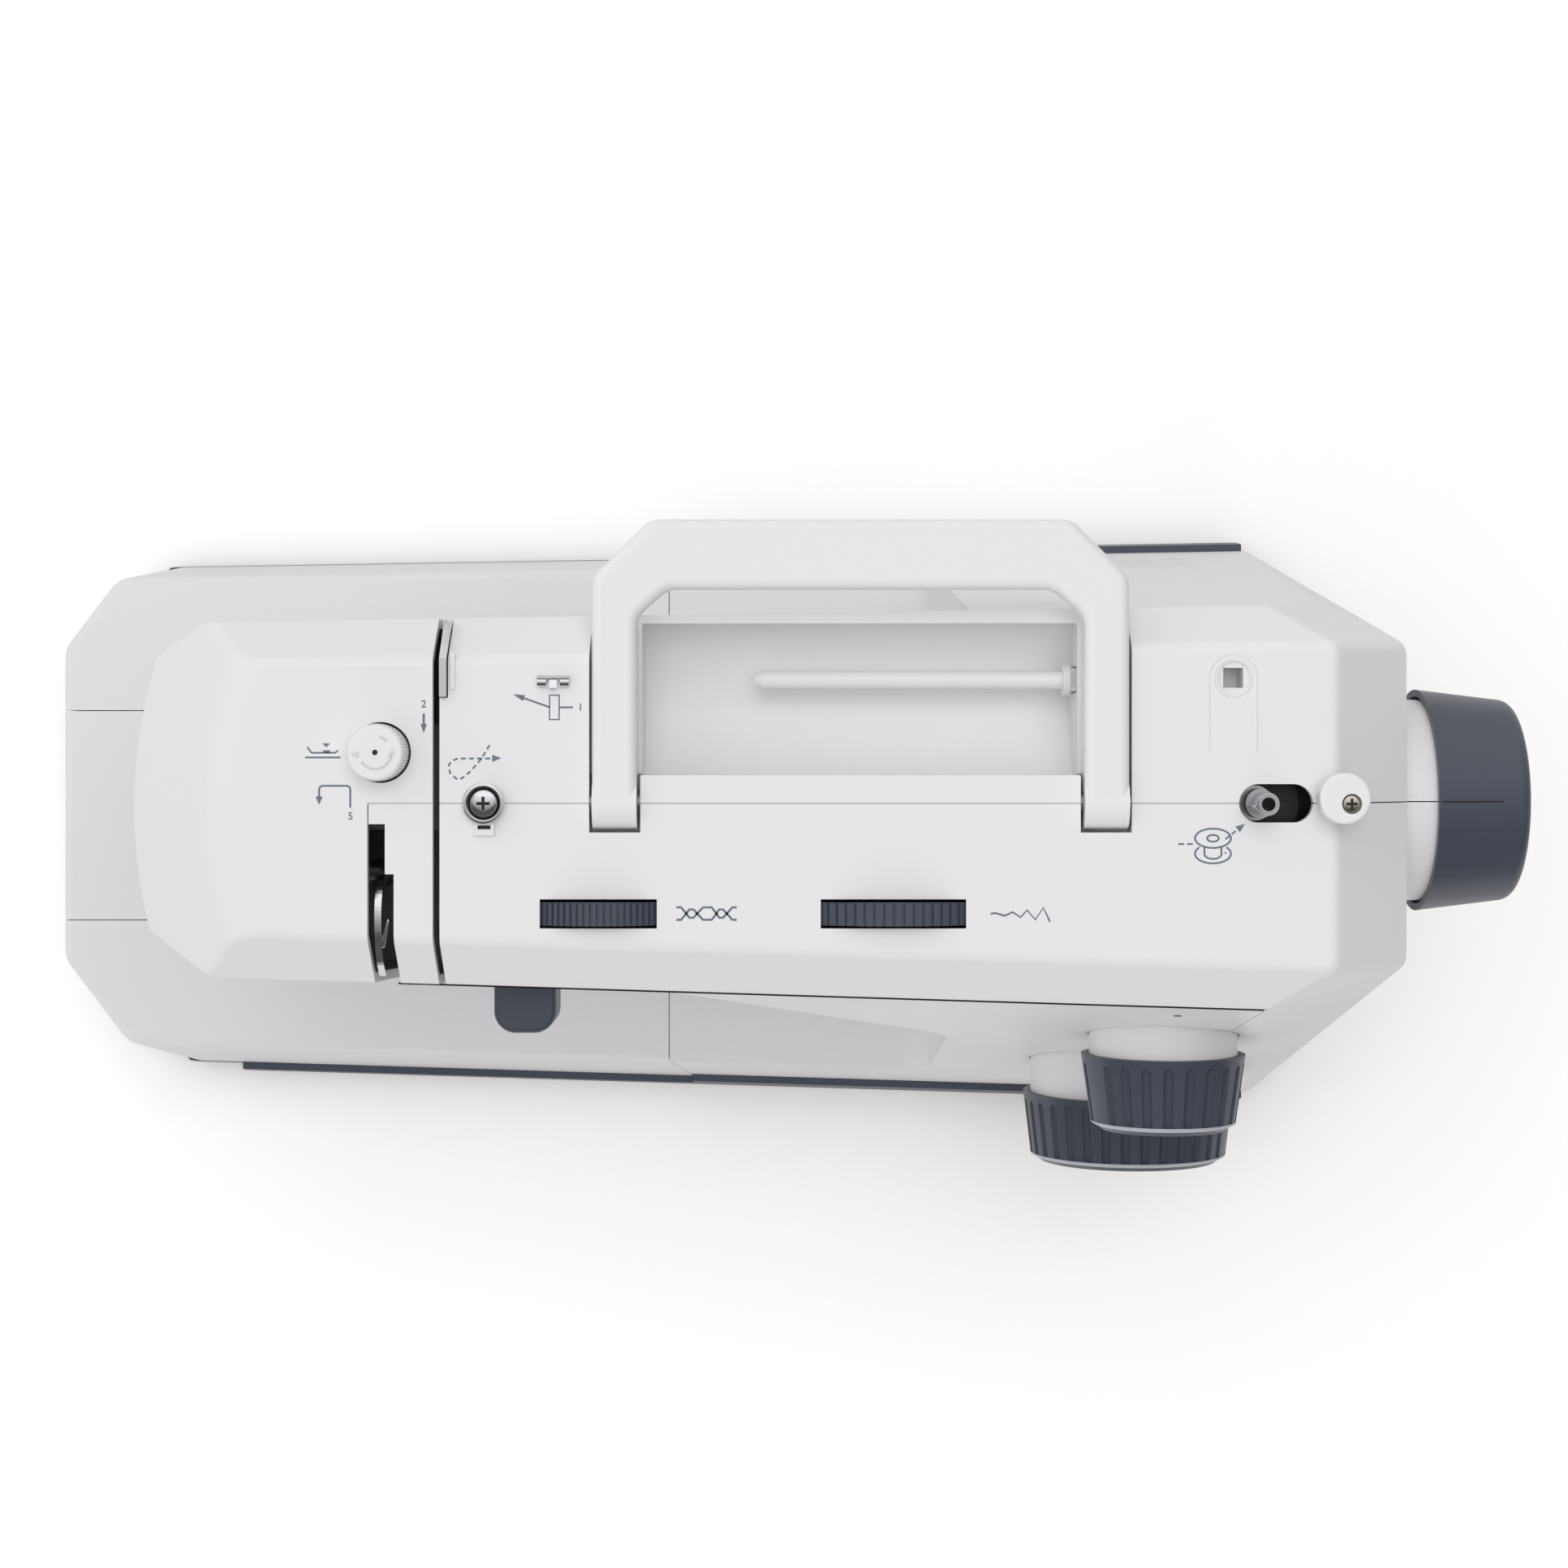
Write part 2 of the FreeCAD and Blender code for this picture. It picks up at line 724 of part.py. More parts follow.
length_skirt_y = length_dial_rear_y + skirt_depth
pattern_skirt_y = pattern_dial_rear_y + pattern_skirt_depth
length_plate_y = length_skirt_y + 8.0
pattern_plate_y = pattern_skirt_y + 13.0
stop_post_x = stop_x + 1.6
shaft_gear_radius = parting_y - hook_y - hook_gear_radius - mesh_play
bar_gap = 1.2
bracket_top_z = roof_z - 20.0
bracket_z = bracket_top_z - bracket_thickness
head_bracket_z = head_under_z + wall + 0.4
crank_pin_z = shaft_z + needle_stroke / 2
link_z = crank_pin_z - link_drop
link_right_x = crank_x - crank_pin_length - pin_play
link_left_x = link_right_x - link_thickness
winder_arm_z = roof_z - winder_arm_drop
winder_arm_top_z = winder_arm_z + winder_arm_thickness
power_z0 = inlet_z - 16.0
power_z1 = switch_z + 14.0
power_face_x = side_x + side_lean * (side_bevel_z - switch_z) + 0.4
lid_hinge_x = tray_left_x + lid_hinge_inset
motor_x = motor_belt_x + motor_belt_width + motor_gap


def well_room():
    """Everything taken out of the covers for the spool well and the folded handle."""
    bowl = cyl_x(well_left_x, well_right_x, well_mid_y, bowl_z, well_radius)
    bowl = bowl.common(box(-200, 200, well_front_y, well_rear_y, 0, bowl_z))
    shapes = [box(well_left_x, well_right_x, well_front_y, well_rear_y, well_side_z, above)]
    for x0, x1 in arm_slots:
        shapes.append(box(x0, x1, slot_front_y, 150, pocket_floor_z, above))
        shapes.append(box(x0, x1, slot_front_y, slot_pivot_end_y, pivot_pocket_z, above))
    return fuse(bowl, *shapes)


def well_pan():
    """The walls round the well and the handle's slots, before they are hollowed."""
    t = pan_wall
    bowl = cyl_x(well_left_x - t, well_right_x + t, well_mid_y, bowl_z, well_radius + t)
    bowl = bowl.common(box(-200, 200, well_front_y - t, well_rear_y + t, 0, bowl_z))
    shapes = [
        box(well_left_x - t, well_right_x + t, well_front_y - t, well_rear_y + t, well_side_z - 1, above)
    ]
    for x0, x1 in arm_slots:
        y0 = slot_front_y - t
        shapes.append(box(x0 - t, x1 + t, y0, 150, pocket_floor_z - t, above))
        shapes.append(box(x0 - t, x1 + t, y0, slot_pivot_end_y + t, pivot_pocket_z - t, above))
    half = root_half + root_gap + lug
    shapes.append(
        box(well_right_x, spool_pivot_x + 7, spool_y - half, spool_y + half, spool_z - 9, spool_z + 10)
    )
    return fuse(bowl, *shapes)


def spool_bearing_room():
    half = root_half + root_gap
    x1 = spool_pivot_x + 5.5
    slot = box(well_right_x - 1, x1, spool_y - half, spool_y + half, spool_z - 6.5, spool_z + 8.5)
    reach_y = half + lug
    pivot = cyl_y(spool_pivot_x, spool_y - reach_y, spool_y + reach_y, spool_z, spool_pivot_radius + run)
    return fuse(slot, pivot)


def thumb_axle_z(radius):
    return roof_z + thumb_rise - radius


def thumb_lugs(x, radius):
    """Two bearings under the roof for a thumbwheel's axle."""
    z = thumb_axle_z(radius)
    near = thumb_width / 2 + thumb_slot_play + 0.4
    far = near + thumb_lug
    half = thumb_axle_radius + 2.0
    lugs = fuse(
        box(x - half, x + half, thumb_y - far, thumb_y - near, z - half, roof_z - 1),
        box(x - half, x + half, thumb_y + near, thumb_y + far, z - half, roof_z - 1),
    )
    return lugs.cut(cyl_y(x, thumb_y - far - 1, thumb_y + far + 1, z, thumb_axle_radius + run))


def thumb_slot(x, radius):
    deep = thumb_width / 2 + thumb_slot_play
    return cyl_y(x, thumb_y - deep, thumb_y + deep, thumb_axle_z(radius), radius + thumb_slot_play)


def winder_slot():
    r = winder_slot_width / 2
    x0 = winder_x - winder_collar_radius - 1.4 + r
    x1 = x0 + winder_slot_length - winder_slot_width
    z0 = winder_arm_top_z + 0.2
    middle = box(x0, x1, parting_y - r, parting_y + r, z0, above)
    return fuse(middle, cyl_z(x0, parting_y, z0, above, r), cyl_z(x1, parting_y, z0, above, r))


def take_up_slot():
    x0 = face_seam_x - 1
    narrow = box(x0, face_seam_x + take_up_slot_width, -70, take_up_slot_rear_y, roof_z - 12, above)
    wide = box(x0, face_seam_x + take_up_slot_wide, -70, take_up_slot_step_y, slot_foot_z - 12, above)
    return fuse(narrow, wide)


def tension_slot():
    over = box(tension_left_x, tension_right_x, -70, 90, roof_z - 22, above)
    down = box(tension_left_x, tension_right_x, -70, disc_y, slot_foot_z, roof_z)
    guide_x = tension_right_x + rear_guide_thickness + 0.4
    guide = box(tension_left_x, guide_x, rear_guide_y - 0.2, 90, roof_z - 16, above)
    return fuse(over, down, guide)


def spool_socket():
    """A square hole for a second spool pin, in a shallow round with a groove towards the front."""
    h = socket_hole / 2
    x, y = socket_x, socket_y
    return fuse(
        cyl_z(x, y, roof_z - 0.9, above, socket_radius),
        box(x - h, x + h, y - h, y + h, roof_z - socket_depth, above),
        box(x - 1.6, x + 1.6, y - 14, y, roof_z - 0.6, above),
    )


def cover_openings():
    reverse_half = reverse_width / 2 + 0.8
    under0, under1 = head_under_z - 5, head_under_z + 8
    shapes = [
        well_room(),
        spool_bearing_room(),
        spool_socket(),
        thumb_slot(tension_wheel_x, tension_wheel_radius),
        thumb_slot(width_wheel_x, width_wheel_radius),
        winder_slot(),
        cyl_z(needle_x, presser_y, roof_z - 15, above, knob_hole_radius),
        cyl_z(needle_x, parting_y, under0, under1, needle_bar_radius + bar_gap),
        cyl_z(needle_x, presser_y, under0, under1, presser_radius + bar_gap),
        cyl_z(lamp_x, lamp_y, under0, under1, lamp_radius + 0.1),
        cyl_y(dial_x, -130, -30, length_dial_z, length_skirt_radius + skirt_gap),
        cyl_y(dial_x, -130, -30, pattern_dial_z, pattern_skirt_radius + skirt_gap),
        box(
            reverse_x - reverse_half, reverse_x + reverse_half, -70, -25,
            reverse_z - reverse_height / 2 - reverse_drop, reverse_z + reverse_height / 2 + 1.5,
        ),
        cyl_x(collar_end_x - 10, collar_end_x + 5, parting_y, shaft_z, shaft_radius + 1.5),
        box(
            side_x - 12, side_x + 20, switch_y - power_half_width - seam, switch_y + power_half_width + seam,
            power_z0 - seam, power_z1 + seam,
        ),
        cyl_y(lifter_x, 50, 80, lifter_z, lifter_radius + 0.3),
        box(bed_left_x - 20, bed_left_x + 15, free_arm_front_y + 4, free_arm_rear_y - 4, 21.0, bed_z - 4),
    ]
    for n in range(vent_count):
        z = vent_z + n * vent_pitch
        shapes.append(box(vent_x, vent_x + vent_length, 60, 120, z, z + vent_height))
    for x0, x1 in arm_slots:
        shapes.append(cyl_x(x0 - 3.2, x1 + 3.2, parting_y, handle_pivot_z, handle_pin_radius + run))
    return shapes


def covers():
    """The white mouldings: one hollow body, cut up along the seams."""
    outer = outer_body()
    socket_boss = cyl_z(socket_x, socket_y, roof_z - socket_depth - 2, roof_z - 1, socket_radius + 2)
    shell = fuse(outer.cut(inner_body()), well_pan().common(outer), socket_boss)
    shell = shell.cut(cover_openings())
    half = seam / 2
    far = 300.0
    left_front = box(-far, face_seam_x - half, -far, parting_y + 1, -50, above)
    left_rear = box(-far, tension_slot_x - half, parting_y - half, far, -50, above)
    right_rear = box(tension_slot_x + half, far, parting_y + half, far, -50, above)
    right_front = box(face_seam_x + half, far, -far, parting_y - half, -50, above)
    strip = box(-far, tension_slot_x, -far, parting_y, -50, above)
    below_belt = box(-far, corner_x, -far, parting_y, -50, belt_z - half)
    belt_gap = box(-far, corner_x + seam, -far, parting_y, -50, belt_z + half)
    add("face_cover", shell.common(fuse(left_front, left_rear)).cut(tension_slot()))
    add("rear_cover", shell.common(right_rear).cut(tension_slot()))
    front = shell.common(right_front).cut(fuse(take_up_slot(), tension_slot()))
    add("front_cover", front.common(fuse(below_belt, strip)))
    post = cyl_z(winder_pivot_x, winder_pivot_y, winder_arm_z - 5, roof_z - 1, winder_post_radius)
    bearings = [
        thumb_lugs(tension_wheel_x, tension_wheel_radius), thumb_lugs(width_wheel_x, width_wheel_radius)
    ]
    add("top_cover", fuse(front.cut(fuse(belt_gap, strip)), post, *bearings))
    return outer


def handle():
    x0, x1 = handle_left_x, handle_right_x
    w = handle_arm_width
    c = handle_corner
    y1 = handle_rear_y
    y2 = y1 - handle_grip_depth
    plan = [
        (x0, parting_y), (x0, y1 - c), (x0 + c, y1), (x1 - c, y1), (x1, y1 - c), (x1, parting_y),
        (x1 - w, parting_y), (x1 - w, y2 - 7), (x1 - w - 8, y2), (x0 + w + 8, y2), (x0 + w, y2 - 7),
        (x0 + w, parting_y),
    ]
    bow = prism(plan, handle_under_z, handle_top_z)
    bow = round_edges(bow, 6.0, lambda e: upright(e) and e.CenterOfMass.y > y2 - 8)
    bow = round_edges(bow, handle_edge, lambda e: not upright(e) and e.BoundBox.YMax > parting_y + 1)
    ends = [cyl_x(x, x + w, parting_y, handle_pivot_z, handle_end_radius) for x in (x0, x1 - w)]
    bow = fuse(bow, *ends)
    bores = [
        cyl_x(x - 1, x + w + 1, parting_y, handle_pivot_z, handle_pin_radius + run) for x in (x0, x1 - w)
    ]
    add("handle", bow.cut(bores))
    pins = [
        cyl_x(s0 - 2.6, s1 + 2.6, parting_y, handle_pivot_z, handle_pin_radius) for s0, s1 in arm_slots
    ]
    add("handle_pins", Part.makeCompound(pins))


def spool_pin():
    rod = cyl_x(spool_tip_x + 2, spool_flange_x, spool_y, spool_z, spool_radius)
    tip = cone_x(spool_tip_x, spool_tip_x + 2, spool_y, spool_z, spool_radius * 0.6, spool_radius)
    flange = cyl_x(spool_flange_x, spool_flange_x + 2, spool_y, spool_z, spool_flange_radius)
    root = box(
        spool_flange_x + 2, spool_pivot_x + 3, spool_y - root_half, spool_y + root_half,
        spool_z - root_half, spool_z + root_half,
    )
    half = root_half + root_gap + lug - 0.4
    pivot = cyl_y(spool_pivot_x, spool_y - half, spool_y + half, spool_z, spool_pivot_radius)
    add("spool_pin", fuse(rod, tip, flange, root, pivot))


def thumbwheel(x, radius, rib_pitch):
    """A wheel ribbed round its rim, in one with its axle."""
    z = thumb_axle_z(radius)
    y0, y1 = thumb_y - thumb_width / 2, thumb_y + thumb_width / 2
    wheel = cyl_y(x, y0, y1, z, radius)
    far = thumb_width / 2 + thumb_slot_play + 0.2 + thumb_lug
    axle = cyl_y(x, thumb_y - far, thumb_y + far, z, thumb_axle_radius)
    count = round(2 * math.pi * radius / rib_pitch)
    notch = profile_y([(-0.5, 1.0), (0.5, 1.0), (0.25, -0.6), (-0.25, -0.6)], y0 - 1, y1 + 1)
    notches = []
    for n in range(count):
        tool = notch.copy()
        tool.translate(Vector(0, 0, radius))
        tool.rotate(Vector(0, 0, 0), Vector(0, 1, 0), 360.0 * n / count)
        tool.translate(Vector(x, 0, z))
        notches.append(tool)
    return fuse(wheel.cut(notches), axle)


def roof_fittings(outer):
    shoulder_z = roof_z - 4
    knob = fuse(
        cyl_z(needle_x, presser_y, shoulder_z, knob_top_z, knob_radius),
        cyl_z(needle_x, presser_y, bracket_top_z + 0.2, shoulder_z, knob_radius - 2.5),
    )
    knob = round_edges(knob, 1.0, lambda e: e.BoundBox.ZMin > knob_top_z - 1e-3)
    add("pressure_knob", knob.cut(cyl_z(needle_x, presser_y, knob_top_z - 4, knob_top_z + 1, 1.4)))
    add("tension_wheel", thumbwheel(tension_wheel_x, tension_wheel_radius, tension_rib_pitch))
    add("width_wheel", thumbwheel(width_wheel_x, width_wheel_radius, width_rib_pitch))
    x, y = pretension_x, parting_y
    cap = Part.makeSphere(6.0, Vector(x, y, roof_z - 1.6)).common(cyl_z(x, y, roof_z + 1.6, roof_z + 8, 4.6))
    ring = cyl_z(x, y, roof_z, roof_z + 1.0, 5.4)
    post = cyl_z(x, y, roof_z, roof_z + 2, 2.0)
    add("pretension_guide", fuse(ring, post, cap))
    clip = [
        (rear_guide_y, roof_z - 3), (rear_guide_y, roof_z + 2.6), (51, roof_z + 2.6), (61, roof_z - 8),
        (61, roof_z - 13), (51, roof_z - 3),
    ]
    clip_x = tension_right_x + 0.2
    add("rear_thread_guide", profile_x(clip, clip_x, clip_x + rear_guide_thickness))
    bar = box(top_guide_x - 4.2, top_guide_x + 4.2, top_guide_y - 1.5, top_guide_y + 1.5, roof_z, roof_z + 3)
    add("top_thread_guide", bar.cut(cyl_y(top_guide_x, top_guide_y - 5, top_guide_y + 5, roof_z + 0.4, 1.6)))
    post = cyl_z(stop_post_x, parting_y, side_bevel_z, stop_under_z, stop_post_radius).cut(outer)
    disc = cyl_z(stop_x, stop_y, stop_under_z, stop_top_z, stop_radius)
    disc = round_edges(disc, 0.8, lambda e: e.BoundBox.ZMin > stop_top_z - 1e-3)
    screw_hole = cyl_z(stop_post_x, parting_y, stop_top_z - 2, stop_top_z + 1, 2.6)
    add("winder_stop", fuse(disc, post).cut(screw_hole))


def bobbin_winder():
    x, y = winder_x, parting_y
    collar_z = roof_z + 2
    flange_z = winder_arm_top_z + 0.2
    tyre_z = winder_arm_z - 11
    spindle = fuse(
        cyl_z(x, y, collar_z, winder_top_z, winder_radius),
        cyl_z(x, y, flange_z, collar_z, winder_collar_radius),
        cyl_z(x, y, flange_z, flange_z + 3, winder_collar_radius + 0.8),
        cyl_z(x, y, tyre_z, flange_z, winder_stem_radius),
        cyl_z(x, y, tyre_z, tyre_z + 5.5, 9.0),
    )
    top_edges = [e for e in spindle.Edges if e.BoundBox.ZMin > winder_top_z - 1e-3]
    add("winder_spindle", spindle.makeChamfer(0.8, top_edges))
    px, py = winder_pivot_x, winder_pivot_y
    z0, z1 = winder_arm_z, winder_arm_top_z
    bar = prism([(px - 4, py), (px + 4, py), (x + 5, y), (x - 5, y)], z0, z1)
    arm = fuse(bar, cyl_z(px, py, z0, z1, winder_post_radius + 2.5), cyl_z(x, y, z0, z1, 12.0))
    bores = [
        cyl_z(px, py, z0 - 1, z1 + 1, winder_post_radius + run),
        cyl_z(x, y, z0 - 1, z1 + 1, winder_stem_radius + run),
    ]
    add("winder_arm", arm.cut(bores))


def dial_grip(z, rear_y, radius, nose_radius):
    """A tapered grip, fluted all round."""
    nose_y = rear_y - dial_grip_length
    drum = cone_y(dial_x, rear_y, nose_y, z, radius, nose_radius)
    dome = cone_y(dial_x, nose_y, nose_y - dial_dome, z, nose_radius, nose_radius - dial_dome * 1.3)
    count = round(2 * math.pi * radius / flute_pitch)
    taper = (radius - nose_radius) / dial_grip_length
    flutes = []
    for n in range(count):
        angle = 2 * math.pi * n / count
        out = Vector(math.cos(angle), 0, math.sin(angle))
        start = Vector(dial_x, rear_y - flute_inset, z) + out * (radius - taper * flute_inset + flute_out)
        end = Vector(dial_x, nose_y - 6, z) + out * (nose_radius - taper * 6 + flute_out)
        flutes.append(Part.makeCylinder(flute_radius, (end - start).Length, start, end - start))
        flutes.append(Part.makeSphere(flute_radius, start))
    return fuse(drum, dome).cut(flutes)


def dial_skirt(z, rear_y, skirt_y, radius, plate_y):
    return fuse(
        cyl_y(dial_x, rear_y, skirt_y, z, radius),
        cyl_y(dial_x, skirt_y, plate_y + dial_plate + 1, z, dial_shaft_radius),
    )


def front_dials():
    z = length_dial_z
    add("length_dial_grip", dial_grip(z, length_dial_rear_y, length_dial_radius, length_dial_nose_radius))
    skirt = dial_skirt(z, length_dial_rear_y, length_skirt_y, length_skirt_radius, length_plate_y)
    add("length_dial_skirt", skirt)
    z = pattern_dial_z
    add("pattern_dial_grip", dial_grip(z, pattern_dial_rear_y, pattern_dial_radius, pattern_dial_nose_radius))
    add(
        "pattern_dial_skirt",
        dial_skirt(z, pattern_dial_rear_y, pattern_skirt_y, pattern_skirt_radius, pattern_plate_y),
    )
    y0, y1 = pattern_skirt_y + 1, pattern_plate_y - 2
    cam = cyl_y(dial_x, y0, y1, z, 20.0).cut(cyl_y(dial_x, y0 - 1, y1 + 1, z, dial_shaft_radius))
    hollows = []
    for n in range(6):
        angle = n * math.pi / 3
        hollows.append(cyl_y(dial_x + 21 * math.cos(angle), y0 - 1, y1 + 1, z + 21 * math.sin(angle), 5.0))
    add("pattern_cam", cam.cut(hollows))


def reverse_lever():
    half = reverse_width / 2
    z0, z1 = reverse_z - reverse_height / 2, reverse_z + reverse_height / 2
    paddle = box(reverse_x - half, reverse_x + half, reverse_front_y, -30, z0, z1)
    paddle = round_edges(paddle, 6.0, lambda e: upright(e) and e.CenterOfMass.y < reverse_front_y + 1)
    paddle = round_edges(paddle, 1.5, lambda e: e.BoundBox.ZMin > z1 - 1e-3 and e.BoundBox.YMax < -30.5)
    tail = box(reverse_x - 4, reverse_x + 4, -31, reverse_pivot_y, reverse_z - 3, reverse_z + 3)
    reach_x = half + 1.3 + reverse_lug
    pin = cyl_x(reverse_x - reach_x, reverse_x + reach_x, reverse_pivot_y, reverse_z, reverse_pin_radius)
    boss = cyl_x(reverse_x - 4, reverse_x + 4, reverse_pivot_y, reverse_z, reverse_pin_radius + 2.5)
    add("reverse_lever", fuse(paddle, tail, pin, boss))


def handwheel():
    y, z = parting_y, shaft_z
    outside = cone_x(wheel_x, wheel_end_x, y, z, wheel_radius, wheel_end_radius)
    outside = round_edges(outside, 3.5, lambda e: e.BoundBox.XMin > wheel_end_x - 1e-3)
    slope = (wheel_radius - wheel_end_radius) / (wheel_end_x - wheel_x)
    cup_end_x = wheel_x + wheel_cup_depth
    cup_radius = wheel_radius - wheel_rim
    cup = cone_x(wheel_x, cup_end_x, y, z, cup_radius, cup_radius - slope * wheel_cup_depth)
    hub = cyl_x(collar_end_x + 2, cup_end_x, y, z, shaft_radius + 5)
    wheel = fuse(outside.cut(cup), hub)
    add("handwheel", wheel.cut(cyl_x(wheel_x, shaft_end_x, y, z, shaft_radius)))


def belt(x0, width, a, ra, b, rb):
    """An endless belt round two pulleys, given by their (y, z) centres and radii."""
    def loop(grow):
        r1, r2 = ra + grow, rb + grow
        d = math.dist(a, b)
        along = ((b[0] - a[0]) / d, (b[1] - a[1]) / d)
        tilt = math.acos((r1 - r2) / d)
        base = math.atan2(along[1], along[0])
        spots = []
        for sign in (1, -1):
            angle = base + sign * tilt
            spots.append((a[0] + r1 * math.cos(angle), a[1] + r1 * math.sin(angle)))
            spots.append((b[0] + r2 * math.cos(angle), b[1] + r2 * math.sin(angle)))
        spots.append((a[0] - r1 * along[0], a[1] - r1 * along[1]))
        spots.append((b[0] + r2 * along[0], b[1] + r2 * along[1]))
        p = [Vector(x0, y, z) for y, z in spots]
        edges = [
            Part.makeLine(p[0], p[1]),
            Part.Arc(p[1], p[5], p[3]).toShape(),
            Part.makeLine(p[3], p[2]),
            Part.Arc(p[2], p[4], p[0]).toShape(),
        ]
        return Part.Face(Part.Wire(edges)).extrude(Vector(width, 0, 0))
    return loop(belt_play + belt_thickness).cut(loop(belt_play))


def pulley(x, width, z, radius, bore):
    return cyl_x(x, x + width, parting_y, z, radius).cut(cyl_x(x - 1, x + width + 1, parting_y, z, bore))


def bush(x, z, radius, bore):
    tube = cyl_x(x, x + bush_length, parting_y, z, radius)
    return tube.cut(cyl_x(x - 1, x + bush_length + 1, parting_y, z, bore + run))


def drive():
    add("main_shaft", cyl_x(shaft_left_x, shaft_end_x, parting_y, shaft_z, shaft_radius))
    bushes = [bush(x, shaft_z, bush_radius, shaft_radius) for x in (bush_left_x, bush_right_x)]
    for x in (lower_bush_left_x, lower_bush_right_x):
        bushes.append(bush(x, lower_shaft_z, lower_bush_radius, lower_shaft_radius))
    add("bushes", Part.makeCompound(bushes))
    lower_end_x = timing_x + timing_width + 2
    lower = cyl_x(needle_x - 10, lower_end_x, parting_y, lower_shaft_z, lower_shaft_radius)
    gear = cyl_x(needle_x - 4, needle_x + 4, parting_y, lower_shaft_z, shaft_gear_radius)
    add("lower_shaft", fuse(lower, gear))
    upper = pulley(timing_x, timing_width, shaft_z, timing_radius, shaft_radius)
    big_pulley = pulley(motor_belt_x, motor_belt_width, shaft_z, drive_pulley_radius, shaft_radius)
    add("shaft_pulleys", Part.makeCompound([upper, big_pulley]))
    add("lower_pulley", pulley(timing_x, timing_width, lower_shaft_z, timing_radius, lower_shaft_radius))
    main = (parting_y, shaft_z)
    low = (parting_y, lower_shaft_z)
    motor = (motor_y, motor_z)
    add("timing_belt", belt(timing_x, timing_width, main, timing_radius, low, timing_radius))
    loop = belt(motor_belt_x, motor_belt_width, main, drive_pulley_radius, motor, motor_pulley_radius)
    add("motor_belt", loop)
    can = cyl_x(motor_x, motor_x + motor_length, motor_y, motor_z, motor_radius)
    can = round_edges(can, 3.0, lambda e: e.Length > 2 * motor_length)
    add("motor", can.cut(cyl_x(motor_x - 1, motor_x + 20, motor_y, motor_z, motor_shaft_radius + run)))
    rotor = fuse(
        cyl_x(motor_belt_x, motor_belt_x + motor_belt_width, motor_y, motor_z, motor_pulley_radius),
        cyl_x(motor_belt_x, motor_x + 19, motor_y, motor_z, motor_shaft_radius),
    )
    add("motor_pulley", rotor)


